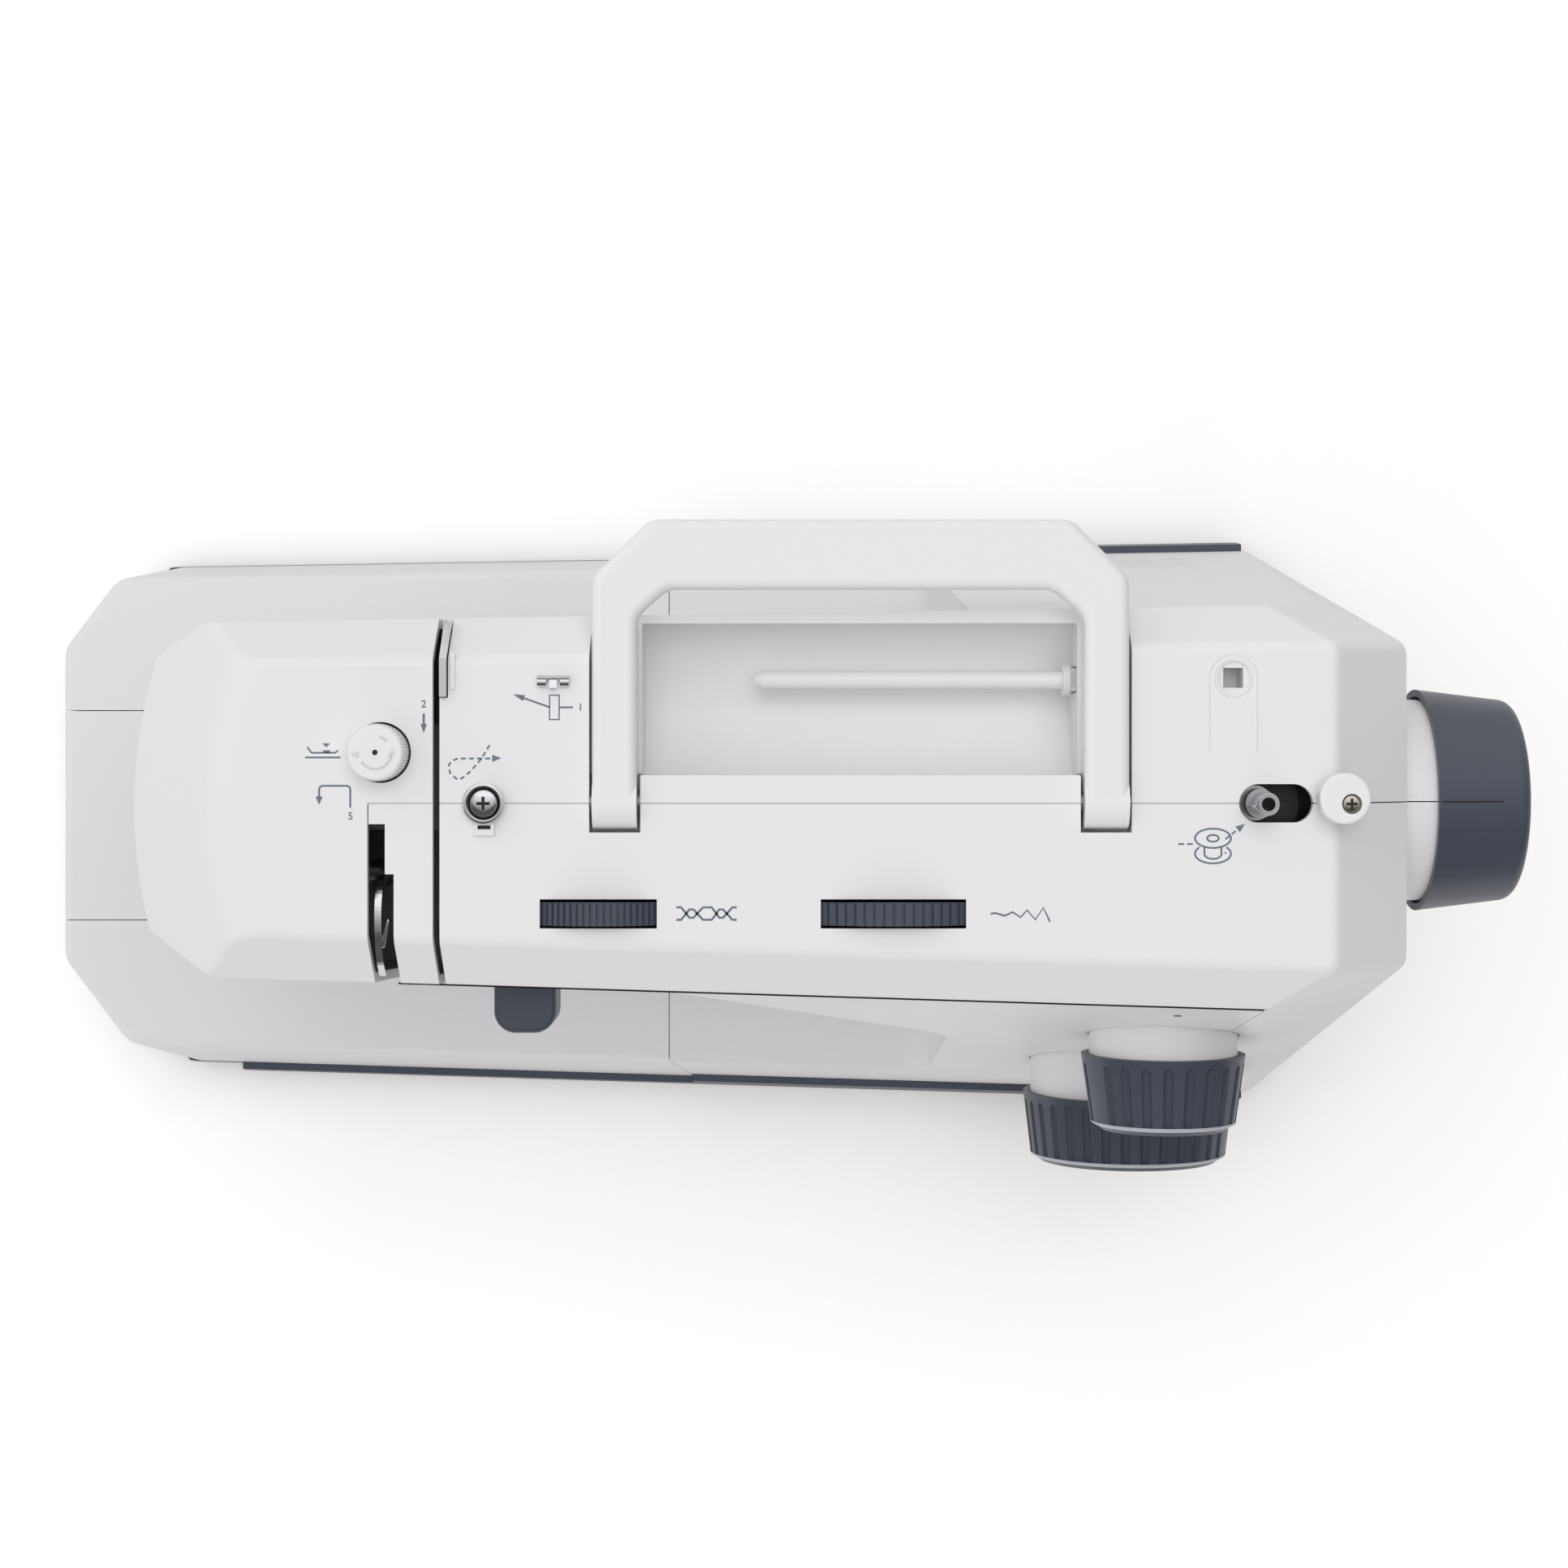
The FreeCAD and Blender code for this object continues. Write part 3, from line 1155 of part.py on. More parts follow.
def frame():
    """The casting that carries the shafts, from the head through the arm and column to the hook."""
    y0, y1 = frame_front_y, frame_rear_y
    plate_x = post_left_x + 8
    left_x = needle_x - 16
    rear_y = presser_y + 7.4
    low_top_z = head_bracket_z + bracket_thickness
    hook_side_x = needle_x + 11.7
    bl, br = bush_left_x, bush_right_x
    shapes = [
        box(bl - 2, br + bush_length, y0, y1, beam_z, beam_top_z),
        box(bl, bl + bush_length, y0, y1, beam_z, bracket_top_z),
        box(br, br + bush_length, y0, y1, beam_z, shaft_z + bush_radius + 3),
        box(post_left_x, post_right_x, y0, y1, base_top_z, beam_top_z),
        box(left_x, left_x + 6, take_up_pivot_y - 6, rear_y, head_bracket_z, bracket_top_z),
        box(left_x, bl + bush_length, parting_y - 7.4, rear_y, bracket_z, bracket_top_z),
        box(left_x, lifter_x + 2, parting_y - 8.4, rear_y, head_bracket_z, low_top_z),
        box(lifter_x - 4.5, lifter_x + 5.5, parting_y + 2.6, parting_y + 7.6, low_top_z - 2, lifter_z + 6),
        box(shaft_left_x, bl, disc_y - 4, frame_front_y + 4, disc_z - 4, disc_z + 4),
        box(hook_side_x, post_right_x, parting_y - 6.4, parting_y + 6.6, bed_beam_z, bed_beam_top_z),
        box(hook_side_x - 6, hook_side_x, hook_y - 7.5, parting_y + 6.6, bed_beam_z, bed_beam_top_z),
        box(needle_x - 8, needle_x + 8, hook_y - 7.5, hook_y + 7.5, bed_beam_z, bed_beam_z + 10),
    ]
    for x in (lower_bush_left_x, lower_bush_right_x):
        shapes.append(box(x, x + bush_length, 5, 22, bed_beam_z, lower_shaft_z + lower_bush_radius + 3))
    for y, z in ((length_plate_y, length_dial_z), (pattern_plate_y, pattern_dial_z)):
        shapes.append(box(plate_x, dial_x + 12, y, y + dial_plate, z - 14, z + 14))
        shapes.append(box(plate_x, post_right_x, y, y0, z - 14, z + 14))
    near = reverse_width / 2 + 1.5
    far = near + reverse_lug
    ry = reverse_pivot_y
    shapes.append(box(reverse_x - far, reverse_x + far, ry - 5, y0, beam_z, beam_top_z))
    for x in (reverse_x - far, reverse_x + near):
        shapes.append(box(x, x + reverse_lug, ry - 5, ry + 8, beam_z, reverse_z + 5))
    casting = fuse(*shapes)
    low0, low1 = head_bracket_z - 1, head_bracket_z + bracket_thickness + 1
    bores = [
        cyl_x(bl - 1, bl + bush_length + 1, parting_y, shaft_z, bush_radius),
        cyl_x(br - 1, br + bush_length + 1, parting_y, shaft_z, bush_radius),
        cyl_x(post_left_x - 1, post_right_x + 1, parting_y, lower_shaft_z, lower_shaft_radius + 2),
        cyl_z(needle_x, parting_y, low0, low1, needle_bar_radius + run),
        cyl_z(needle_x, presser_y, low0, low1, presser_radius + run),
        cyl_z(needle_x, presser_y, bracket_z - 1, bracket_top_z + 1, presser_radius + run),
        cyl_y(lifter_x, 10, 30, lifter_z, lifter_radius + run),
        cyl_z(needle_x, hook_y, bed_beam_z + 2, 40, hook_shaft_radius + run),
        cyl_y(dial_x, length_plate_y - 1, length_plate_y + 9, length_dial_z, dial_shaft_radius + run),
        cyl_y(dial_x, pattern_plate_y - 1, pattern_plate_y + 9, pattern_dial_z, dial_shaft_radius + run),
        cyl_x(reverse_x - 25, reverse_x + 25, ry, reverse_z, reverse_pin_radius + run),
        cyl_x(left_x - 1, left_x + 7, take_up_pivot_y, take_up_pivot_z, take_up_pin_radius + run),
    ]
    for x in (lower_bush_left_x, lower_bush_right_x):
        bores.append(cyl_x(x - 1, x + bush_length + 1, parting_y, lower_shaft_z, lower_bush_radius))
    add("frame_casting", casting.cut(bores))


def needle_drive():
    x, y = needle_x, parting_y
    block = box(x - 5.5, x + 5.5, y - 5, y + 5, link_z - 6, link_z + 6)
    stud = cyl_x(x + 5.5, link_right_x, y, link_z, stud_radius)
    foot_of_bar = needle_tip_z + 30
    add("needle_bar", fuse(cyl_z(x, y, foot_of_bar, needle_bar_top_z, needle_bar_radius), block, stud))
    clamp_z = foot_of_bar - 2
    clamp = fuse(
        cyl_z(x, y, clamp_z, clamp_z + 12, needle_bar_radius + 1.8),
        cyl_x(x + needle_bar_radius + 0.5, x + 13, y, clamp_z + 6, 1.6),
        cyl_x(x + 8, x + 13, y, clamp_z + 6, 3.2),
    )
    clamp = clamp.cut(cyl_z(x, y, foot_of_bar, clamp_z + 20, needle_bar_radius))
    add("needle_clamp", clamp.cut(cyl_z(x, y, clamp_z - 5, clamp_z + 5, 0.9)))
    needle = fuse(
        cyl_z(x, y, needle_tip_z + 4, foot_of_bar, 0.8),
        Part.makeCone(0.1, 0.8, 4, Vector(x, y, needle_tip_z), Vector(0, 0, 1)),
    )
    add("needle", needle)
    crank_end = crank_x + crank_width
    disc = cyl_x(crank_x, crank_end, y, shaft_z, crank_radius)
    pin = cyl_x(crank_x - crank_pin_length, crank_x, y, crank_pin_z, crank_pin_radius)
    bore = cyl_x(shaft_left_x, crank_end + 1, y, shaft_z, shaft_radius)
    add("needle_crank", fuse(disc, pin).cut(bore))
    x0, x1 = link_left_x, link_right_x
    rod = fuse(
        box(x0, x1, y - 4, y + 4, link_z, crank_pin_z),
        cyl_x(x0, x1, y, crank_pin_z, crank_pin_radius + 3),
        cyl_x(x0, x1, y, link_z, stud_radius + 3),
    )
    rod = rod.cut(cyl_x(x0 - 1, x1 + 1, y, crank_pin_z, crank_pin_radius + 0.3))
    add("needle_link", rod.cut(cyl_x(x0 - 1, x1 + 1, y, link_z, stud_radius + run)))


def take_up():
    """A flat lever on a stud, with the thread eye just inside the slot."""
    x0 = face_seam_x + 1.0
    x1 = face_seam_x + 3.0
    eye = (take_up_eye_y, take_up_eye_z)
    pivot = (take_up_pivot_y, take_up_pivot_z)
    d = math.dist(pivot, eye)
    side_y, side_z = (eye[1] - pivot[1]) / d, -(eye[0] - pivot[0]) / d
    arm = profile_x(
        [
            (pivot[0] + side_y * 4, pivot[1] + side_z * 4),
            (eye[0] + side_y * 2.5, eye[1] + side_z * 2.5),
            (eye[0] - side_y * 2.5, eye[1] - side_z * 2.5),
            (pivot[0] - side_y * 4, pivot[1] - side_z * 4),
        ],
        x0, x1,
    )
    shape = fuse(
        arm,
        cyl_x(x0, x1, pivot[0], pivot[1], take_up_pin_radius + 3),
        cyl_x(x0, x1, eye[0], eye[1], 3.4),
        cyl_x(needle_x - 16, x0, pivot[0], pivot[1], take_up_pin_radius),
    )
    add("take_up_lever", shape.cut(cyl_x(x0 - 1, x1 + 1, eye[0], eye[1], 1.4)))
    discs = [
        cyl_x(tension_slot_x + side_x0 - 0.5, tension_slot_x + side_x0 + 0.5, disc_y, disc_z, disc_radius)
        for side_x0 in (-1.3, 1.3)
    ]
    add("tension_discs", fuse(discs[0], discs[1], cyl_x(tension_slot_x - 3, -62, disc_y, disc_z, 2.0)))


def presser():
    x, y = needle_x, presser_y
    lift_block = box(x - 5, lifter_x + 3, y - 5.5, y + 5.5, lifter_z + 8, lifter_z + 18)
    bar = cyl_z(x, y, bed_z + 14, bracket_z - 4, presser_radius)
    add("presser_bar", fuse(bar, lift_block))
    ankle = box(x - 5, x + 5, y - 6, y + 6, foot_z + 7, bed_z + 26)
    add("foot_holder", ankle.cut(cyl_z(x, y, bed_z + 14, bed_z + 40, presser_radius)))
    sole = box(x - 9, x + 9, plate_front_y, y + 8, foot_z, foot_z + 2)
    toes = fuse(
        box(x - 3, x + 3, parting_y - 4, parting_y + 4, foot_z - 1, foot_z + 4),
        box(x - 1.5, x + 1.5, plate_front_y - 1, parting_y, foot_z - 1, foot_z + 4),
    )
    rib = box(x - 4, x + 4, y - 5, y + 5, foot_z + 2, foot_z + 7)
    add("presser_foot", fuse(sole.cut(toes), rib))
    y0 = rear_line(lifter_x, rear_belt_y) + lifter_stand_off
    y1 = y0 + lifter_thickness
    paddle_z = lifter_z - 38
    lever = fuse(
        cyl_y(lifter_x, 16.5, y1, lifter_z, lifter_radius),
        cyl_y(lifter_x, y - 3, y + 3, lifter_z, lifter_radius + 2),
        box(lifter_x - 4, lifter_x + 4, y0, y1, paddle_z, lifter_z),
        cyl_y(lifter_x, y0, y1, lifter_z, 6.0),
        cyl_y(lifter_x, y0, y1, paddle_z, 6.0),
    )
    add("lifter_lever", lever)
    add("lamp_lens", cyl_z(lamp_x, lamp_y, head_under_z - 0.6, head_under_z + wall, lamp_radius))


def hook_and_feed():
    x, y, r = needle_x, hook_y, hook_radius
    cup = cyl_z(x, y, hook_floor_z, hook_top_z, r).cut(cyl_z(x, y, hook_floor_z + 2, hook_top_z + 1, r - 2))
    stem = cyl_z(x, y, bed_beam_z + 2.2, hook_floor_z + 1, hook_shaft_radius)
    gear = cyl_z(x, y, lower_shaft_z - 0.5, lower_shaft_z + 8.5, hook_gear_radius)
    add("hook", fuse(cup, stem, gear))
    case_z = hook_floor_z + 2.4
    case = cyl_z(x, y, case_z, hook_top_z + 1, r - 2.4)
    add("bobbin_case", case.cut(cyl_z(x, y, case_z + 1.6, hook_top_z + 2, r - 4.2)))
    z0 = case_z + 1.8
    z1 = z0 + 11.7
    spool = fuse(
        cyl_z(x, y, z0, z0 + 1.2, 10.3), cyl_z(x, y, z1 - 1.2, z1, 10.3), cyl_z(x, y, z0, z1, 5.0)
    )
    add("bobbin", spool.cut(cyl_z(x, y, z0 - 1, z1 + 1, winder_radius + run)))
    row_z = hook_top_z + 1.3
    rows = [box(x + dx - 1.5, x + dx + 1.5, 8, 28, row_z, bed_z + 0.3) for dx in (-5.2, 5.2)]
    add("feed_dog", fuse(box(x - 9, x + 9, 14.9, 30, row_z - 4, row_z), *rows))


def bed():
    """Free arm with its plate and cover."""
    x0, x1 = free_arm_end_x, bed_left_x + 12
    y0, y1 = free_arm_front_y, free_arm_rear_y
    z0 = free_arm_under_z
    shape = box(x0, x1, y0, y1, z0, bed_z)
    shape = round_edges(shape, 8.0, lambda e: upright(e) and e.CenterOfMass.x < x0 + 1)
    hollow = box(x0 + wall, x1 + 1, y0 + wall, y1 - wall, z0 + wall, bed_z - wall)
    pad = box(plate_left_x - 5, plate_right_x + 5, y0 + 1, y1 - 1, bed_z - 5, bed_z - 1)
    t = plate_thickness
    c = 0.15
    bl, br, bf = bobbin_cover_left_x, bobbin_cover_right_x, bobbin_cover_front_y
    recess = [
        box(plate_left_x - c, plate_right_x + c, plate_front_y - c, plate_rear_y + c, bed_z - t, bed_z + 1),
        box(bl - c, br + c, bf - c, plate_front_y + c, bed_z - t, bed_z + 1),
        box(bl + 2.5, br - 2.5, bf + 2, plate_rear_y - 5, bed_z - 10, bed_z + 1),
    ]
    at, normal, is_open = bed_left
    shape = fuse(shape.cut(hollow), pad).cut(recess)
    add("free_arm", off_plane(shape, at + normal * seam, normal * -1))
    plate = box(plate_left_x, plate_right_x, plate_front_y, plate_rear_y, bed_z - t, bed_z)
    slots = [box(needle_x - 2.2, needle_x + 2.2, parting_y - 1.6, parting_y + 1.6, bed_z - 5, bed_z + 1)]
    for dx in (-5.2, 5.2):
        x = needle_x + dx
        slots.append(box(x - 2.1, x + 2.1, plate_front_y + 1, 32, bed_z - 5, bed_z + 1))
    for x in (plate_left_x + 7, plate_right_x - 7):
        slots.append(cyl_z(x, plate_rear_y - 7, bed_z - 1.2, bed_z + 1, 3.2))
    add("needle_plate", plate.cut(slots))
    cover = box(bl, br, bf, plate_front_y - seam, bed_z - t, bed_z)
    add("bobbin_cover", cover.cut(cyl_z(br - 6, plate_front_y - 8, bed_z - 0.8, bed_z + 1, 2.5)))


def tray_sides():
    lx = tray_left_x
    inside = (-150.0, parting_y, 40.0)
    run_x = lx + tray_corner_run
    fy, ry = tray_front_corner_y, tray_rear_corner_y
    left = plane((lx, 0, 0), (lx, reach, 0), (lx, 0, reach), inside)
    front = plane((lx, fy, 0), (run_x, fy - tray_corner_depth, 0), (lx, fy, reach), inside)
    rear = plane((lx, ry, 0), (run_x, ry + tray_corner_depth, 0), (lx, ry, reach), inside)
    at, normal, is_open = bed_left
    right = (at + normal * seam, normal * -1, False)
    return [column_front, column_rear, left, front, rear, right]


def is_tray_corner(edge):
    ends = edge.Vertexes
    return abs(ends[0].Point.z - ends[-1].Point.z) > 20 and edge.CenterOfMass.x < free_arm_end_x


def tray():
    """The accessory box that slides over the free arm, with a lid in its end."""
    sides = tray_sides()
    z0 = tray_under_z
    under = plane((0, 0, z0), (reach, 0, z0), (0, reach, z0), bed_core, True)
    outer = round_edges(convex(sides + [bed_top, under], 0), 10.0, is_tray_corner)
    outer = round_edges(
        outer, 3.0, lambda e: e.BoundBox.ZMin > bed_z - 1e-3 and e.CenterOfMass.x < bed_left_x - 5
    )
    wall_only = outer.cut(convex(sides + [bed_top, under], tray_wall))
    y0, y1 = free_arm_front_y - tray_play, free_arm_rear_y + tray_play
    x0 = free_arm_end_x - tray_play
    t = tray_wall
    channel = box(x0, room, y0, y1, -room, room)
    sleeve = box(x0 - t, room, y0 - t, y1 + t, z0, room).common(outer)
    lid_room = box(-room, lid_right_x, lid_front_y, lid_rear_y, 0, room)
    lugs = [
        box(lid_hinge_x - 3, lid_hinge_x + 3.5, y, y + 4, z0, lid_hinge_z + 4)
        for y in (lid_front_y - 4.3, lid_rear_y + 0.3)
    ]
    bore = cyl_y(lid_hinge_x, lid_front_y - 8, lid_rear_y + 8, lid_hinge_z, lid_pin_radius + run)
    add("tray", fuse(wall_only, sleeve, *lugs).cut([channel, lid_room, bore]))
    g = seam
    lid_y0, lid_y1 = lid_front_y + g, lid_rear_y - g
    lid = wall_only.common(box(-room, lid_right_x - g, lid_y0, lid_y1, lid_hinge_z, room))
    barrel = cyl_y(lid_hinge_x, lid_y0, lid_y1, lid_hinge_z, lid_barrel_radius)
    pin = cyl_y(lid_hinge_x, lid_front_y - 3.5, lid_rear_y + 3.5, lid_hinge_z, lid_pin_radius)
    web = box(tray_left_x + 0.5, lid_hinge_x, lid_y0, lid_y1, lid_hinge_z, lid_hinge_z + 2)
    add("tray_lid", fuse(lid, barrel, pin, web))
    at, normal, is_open = bed_left
    pan = convex(sides, 0).common(box(-room, room, -room, room, foot_height, z0))
    front_room = box(tray_left_x + pan_lip_inset, room, -room, parting_y, foot_height, z0)
    end_room = box(-room, tray_left_x + 5, tray_front_corner_y, tray_rear_corner_y, foot_height, z0)
    lip = convex(sides, -pan_margin).common(fuse(front_room, end_room))
    pan = off_plane(fuse(pan, lip), at + normal * seam, normal * -1)
    pad_places = [
        (tray_left_x + 22.5, parting_y - 3.4),
        (bed_left_x - 44, parting_y - 75.4),
        (bed_left_x - 44, parting_y + 58.6),
    ]
    pads = [cyl_z(x, y, 0, foot_height, 7.0) for x, y in pad_places]
    add("tray_pan", fuse(pan, *pads).cut(channel))


def base():
    """The dark pan under the column, with the motor's cradle moulded in it."""
    planes = [column_front, column_rear, side, corner_front, corner_rear]
    pan = convex(planes, -pan_margin).common(box(-room, room, -room, room, foot_height, base_top_z))
    at, normal, is_open = bed_left
    pan = off_plane(pan, at, normal)
    cradle = box(
        motor_x + 6, motor_x + motor_length - 6, motor_y - 20, motor_y + 20, base_top_z - 1, motor_z - 14
    )
    cradle = cradle.cut(cyl_x(motor_x, motor_x + motor_length, motor_y, motor_z, motor_radius))
    add("base_pan", fuse(pan, cradle))
    feet = []
    for x in (foot_left_x, foot_right_x):
        for y in (-foot_y, foot_y):
            feet.append(cyl_z(x, y, 0, foot_height, foot_radius))
    add("rubber_feet", Part.makeCompound(feet))


def power_panel():
    x1 = power_face_x
    y0, y1 = switch_y - power_half_width, switch_y + power_half_width
    block = box(x1 - 20, x1, y0, y1, power_z0, power_z1)
    switch_room = box(x1 - 16, x1 + 5, y0 + 3, y1 - 3, switch_z - 11, switch_z + 11)
    inlet_room = box(x1 - 14, x1 + 5, y0 + 3, y1 - 3, inlet_z - 11, inlet_z + 11)
    pivot_x = x1 - 10
    bore = cyl_y(pivot_x, y0 + 1, y1 - 1, switch_z, rocker_pin_radius + run)
    pins = [cyl_x(x1 - 15, x1 - 4, switch_y + dy, inlet_z, 1.2) for dy in (-4, 4)]
    add("power_panel", fuse(block.cut([switch_room, inlet_room, bore]), *pins))
    rocker = cyl_y(pivot_x, y0 + 3.5, y1 - 3.5, switch_z, rocker_radius)
    rocker = rocker.common(box(pivot_x - 2, x1 + 5, y0, y1, switch_z - 8, switch_z + 8))
    add("power_switch", fuse(rocker, cyl_y(pivot_x, y0 + 1.4, y1 - 1.4, switch_z, rocker_pin_radius)))


def build():
    outer = covers()
    handle()
    spool_pin()
    roof_fittings(outer)
    bobbin_winder()
    front_dials()
    reverse_lever()
    handwheel()
    drive()
    frame()
    needle_drive()
    take_up()
    presser()
    hook_and_feed()
    bed()
    tray()
    base()
    power_panel()
    os.makedirs("parts", exist_ok=True)
    for name, shape in nodes.items():
        shape.exportStep("parts/" + name + ".step")


build()
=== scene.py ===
import json
import math

import bmesh
import bpy
from mathutils import Matrix, Vector


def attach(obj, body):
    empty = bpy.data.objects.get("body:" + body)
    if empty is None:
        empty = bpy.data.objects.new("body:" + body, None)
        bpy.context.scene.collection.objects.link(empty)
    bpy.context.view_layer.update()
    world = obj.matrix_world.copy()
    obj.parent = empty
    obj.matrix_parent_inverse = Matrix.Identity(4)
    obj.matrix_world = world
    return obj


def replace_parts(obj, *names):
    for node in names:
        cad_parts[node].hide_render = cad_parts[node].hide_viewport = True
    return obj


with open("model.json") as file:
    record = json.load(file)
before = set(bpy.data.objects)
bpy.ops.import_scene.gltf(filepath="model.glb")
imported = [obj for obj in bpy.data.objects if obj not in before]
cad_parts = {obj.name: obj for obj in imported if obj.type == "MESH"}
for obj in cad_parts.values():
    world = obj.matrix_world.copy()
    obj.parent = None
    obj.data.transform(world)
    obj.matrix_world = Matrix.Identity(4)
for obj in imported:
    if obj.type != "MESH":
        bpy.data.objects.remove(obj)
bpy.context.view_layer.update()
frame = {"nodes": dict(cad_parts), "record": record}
nodes = frame["nodes"]
mm = 0.001
scene = bpy.context.scene
print("stage: frame loaded,", len(nodes), "nodes")


# Colours are written as they look in the photo
def seen(r, g, b):
    def one(v):
        v = v / 255
        return v / 12.92 if v <= 0.04045 else ((v + 0.055) / 1.055) ** 2.4
    return (one(r), one(g), one(b), 1.0)


def newNode(tree, kind, **inputs):
    made = tree.nodes.new(kind)
    for name, value in inputs.items():
        made.inputs[name.replace("_", " ")].default_value = value
    return made


def join(tree, source, output, target, name):
    tree.links.new(source.outputs[output], target.inputs[name])


def maths(tree, operation, first, second):
    made = tree.nodes.new("ShaderNodeMath")
    made.operation = operation
    for socket, value in zip(made.inputs, (first, second)):
        if isinstance(value, (int, float)):
            socket.default_value = value
        else:
            tree.links.new(value, socket)
    return made.outputs[0]


def surfaceGroup(name, stretch):
    group = bpy.data.node_groups.new(name, "ShaderNodeTree")
    face = group.interface
    for label, kind, value in (
        ("Colour", "NodeSocketColor", (0.8, 0.8, 0.8, 1)),
        ("Grain", "NodeSocketFloat", 900.0),
        ("Depth", "NodeSocketFloat", 0.1),
        ("Mottle", "NodeSocketFloat", 0.04),
        ("Gloss", "NodeSocketFloat", 0.4),
        ("Spread", "NodeSocketFloat", 0.1),
    ):
        face.new_socket(label, in_out="INPUT", socket_type=kind).default_value = value
    face.new_socket("Colour", in_out="OUTPUT", socket_type="NodeSocketColor")
    face.new_socket("Roughness", in_out="OUTPUT", socket_type="NodeSocketFloat")
    face.new_socket("Normal", in_out="OUTPUT", socket_type="NodeSocketVector")
    given = group.nodes.new("NodeGroupInput")
    out = group.nodes.new("NodeGroupOutput")
    coords = group.nodes.new("ShaderNodeTexCoord")
    scaled = newNode(group, "ShaderNodeMapping", Scale=stretch)
    join(group, coords, "Object", scaled, "Vector")
    fine = newNode(group, "ShaderNodeTexNoise", Detail=2.0, Roughness=0.6)
    join(group, scaled, "Vector", fine, "Vector")
    join(group, given, "Grain", fine, "Scale")
    broad = newNode(group, "ShaderNodeTexNoise", Scale=26.0, Detail=3.0)
    join(group, coords, "Object", broad, "Vector")
    bump = newNode(group, "ShaderNodeBump", Distance=0.00025)
    join(group, given, "Depth", bump, "Strength")
    join(group, fine, "Fac", bump, "Height")
    tone = maths(group, "ADD", broad.outputs["Fac"], fine.outputs["Fac"])
    tone = maths(group, "SUBTRACT", tone, 1.0)
    shade = maths(group, "ADD", maths(group, "MULTIPLY", tone, given.outputs["Mottle"]), 1.0)
    tint = group.nodes.new("ShaderNodeVectorMath")
    tint.operation = "SCALE"
    join(group, given, "Colour", tint, 0)
    group.links.new(shade, tint.inputs["Scale"])
    uneven = maths(group, "MULTIPLY", tone, given.outputs["Spread"])
    rough = maths(group, "ADD", uneven, given.outputs["Gloss"])
    group.links.new(tint.outputs["Vector"], out.inputs["Colour"])
    group.links.new(rough, out.inputs["Roughness"])
    join(group, bump, "Normal", out, "Normal")
    return group


mouldGrain = surfaceGroup("mouldGrain", (1, 1, 1))
drawnMetal = surfaceGroup("drawnMetal", (1, 1, 0.06))


def material(name, group, colour, gloss, grain, depth, mottle, spread, **shader):
    made = bpy.data.materials.new(name)
    made.use_nodes = True
    made.diffuse_color = colour
    tree = made.node_tree
    surface = tree.nodes["Principled BSDF"]
    look = tree.nodes.new("ShaderNodeGroup")
    look.node_tree = group
    for label, value in (
        ("Colour", colour), ("Grain", grain), ("Depth", depth),
        ("Mottle", mottle), ("Gloss", gloss), ("Spread", spread),
    ):
        look.inputs[label].default_value = value
    join(tree, look, "Colour", surface, "Base Color")
    join(tree, look, "Roughness", surface, "Roughness")
    join(tree, look, "Normal", surface, "Normal")
    for label, value in shader.items():
        surface.inputs[label.replace("_", " ")].default_value = value
    return made


plastic = dict(group=mouldGrain, grain=1600, spread=0.12)
metal = dict(group=drawnMetal, spread=0.12, Metallic=1.0)


def moulded(name, colour, gloss, depth, mottle):
    return material(name, **plastic, colour=seen(*colour), gloss=gloss, depth=depth, mottle=mottle)


def machined(name, colour, gloss, grain, depth, mottle):
    return material(name, **metal, colour=seen(*colour), gloss=gloss, grain=grain, depth=depth, mottle=mottle)


whiteShell = moulded("whiteShell", (226, 226, 228), gloss=0.42, depth=0.03, mottle=0.012)
darkPlastic = moulded("darkPlastic", (66, 71, 83), gloss=0.36, depth=0.05, mottle=0.07)
# Black plastic, and the black pieces that are painted shade in slots, gaps and hollows
blackPlasticAndShade = moulded("blackPlasticAndShade", (22, 22, 25), gloss=0.4, depth=0.05, mottle=0.1)
nylon = moulded("nylon", (226, 222, 208), gloss=0.45, depth=0.04, mottle=0.04)
rubber = moulded("rubber", (38, 38, 41), gloss=0.75, depth=0.25, mottle=0.12)
inkPrint = moulded("inkPrint", (108, 118, 131), gloss=0.5, depth=0.05, mottle=0.05)
# Pale grey for printed marks, and painted shade on the knob's raised arrows
palePrintAndShade = moulded("palePrintAndShade", (206, 207, 209), gloss=0.45, depth=0.03, mottle=0.03)
# Pale grey for seams and pointers, and the painted highlight at the dials' nose edges
paleLineAndHighlight = moulded("paleLineAndHighlight", (172, 175, 182), gloss=0.35, depth=0.03, mottle=0.04)
brightMetal = machined("brightMetal", (222, 223, 226), gloss=0.12, grain=500, depth=0.03, mottle=0.05)
steel = machined("steel", (190, 191, 194), gloss=0.24, grain=900, depth=0.06, mottle=0.08)
nickel = machined("nickel", (205, 196, 180), gloss=0.2, grain=700, depth=0.05, mottle=0.08)
motorSteel = machined("motorSteel", (150, 152, 156), gloss=0.36, grain=700, depth=0.08, mottle=0.1)
casting = machined("casting", (168, 170, 174), gloss=0.5, grain=420, depth=0.4, mottle=0.12)
bronze = machined("bronze", (190, 150, 92), gloss=0.34, grain=600, depth=0.1, mottle=0.1)
clearPlastic = material(
    "clearPlastic", **plastic, colour=seen(238, 241, 243), gloss=0.1, depth=0.02, mottle=0.02,
    Transmission_Weight=0.85, IOR=1.49,
)
finishes = dict(
    white_shell=whiteShell, dark_plastic=darkPlastic, black_plastic=blackPlasticAndShade, nylon=nylon,
    rubber=rubber, bright_metal=brightMetal, steel=steel, motor_steel=motorSteel, casting=casting,
    bronze=bronze, clear_plastic=clearPlastic,
)
for entry in frame["record"]["subparts"]:
    mesh = nodes[entry["node"]].data
    mesh.materials.clear()
    mesh.materials.append(finishes[entry["material_slot"]])
nodes["handle_pins"].data.materials[0] = motorSteel
print("stage: materials")


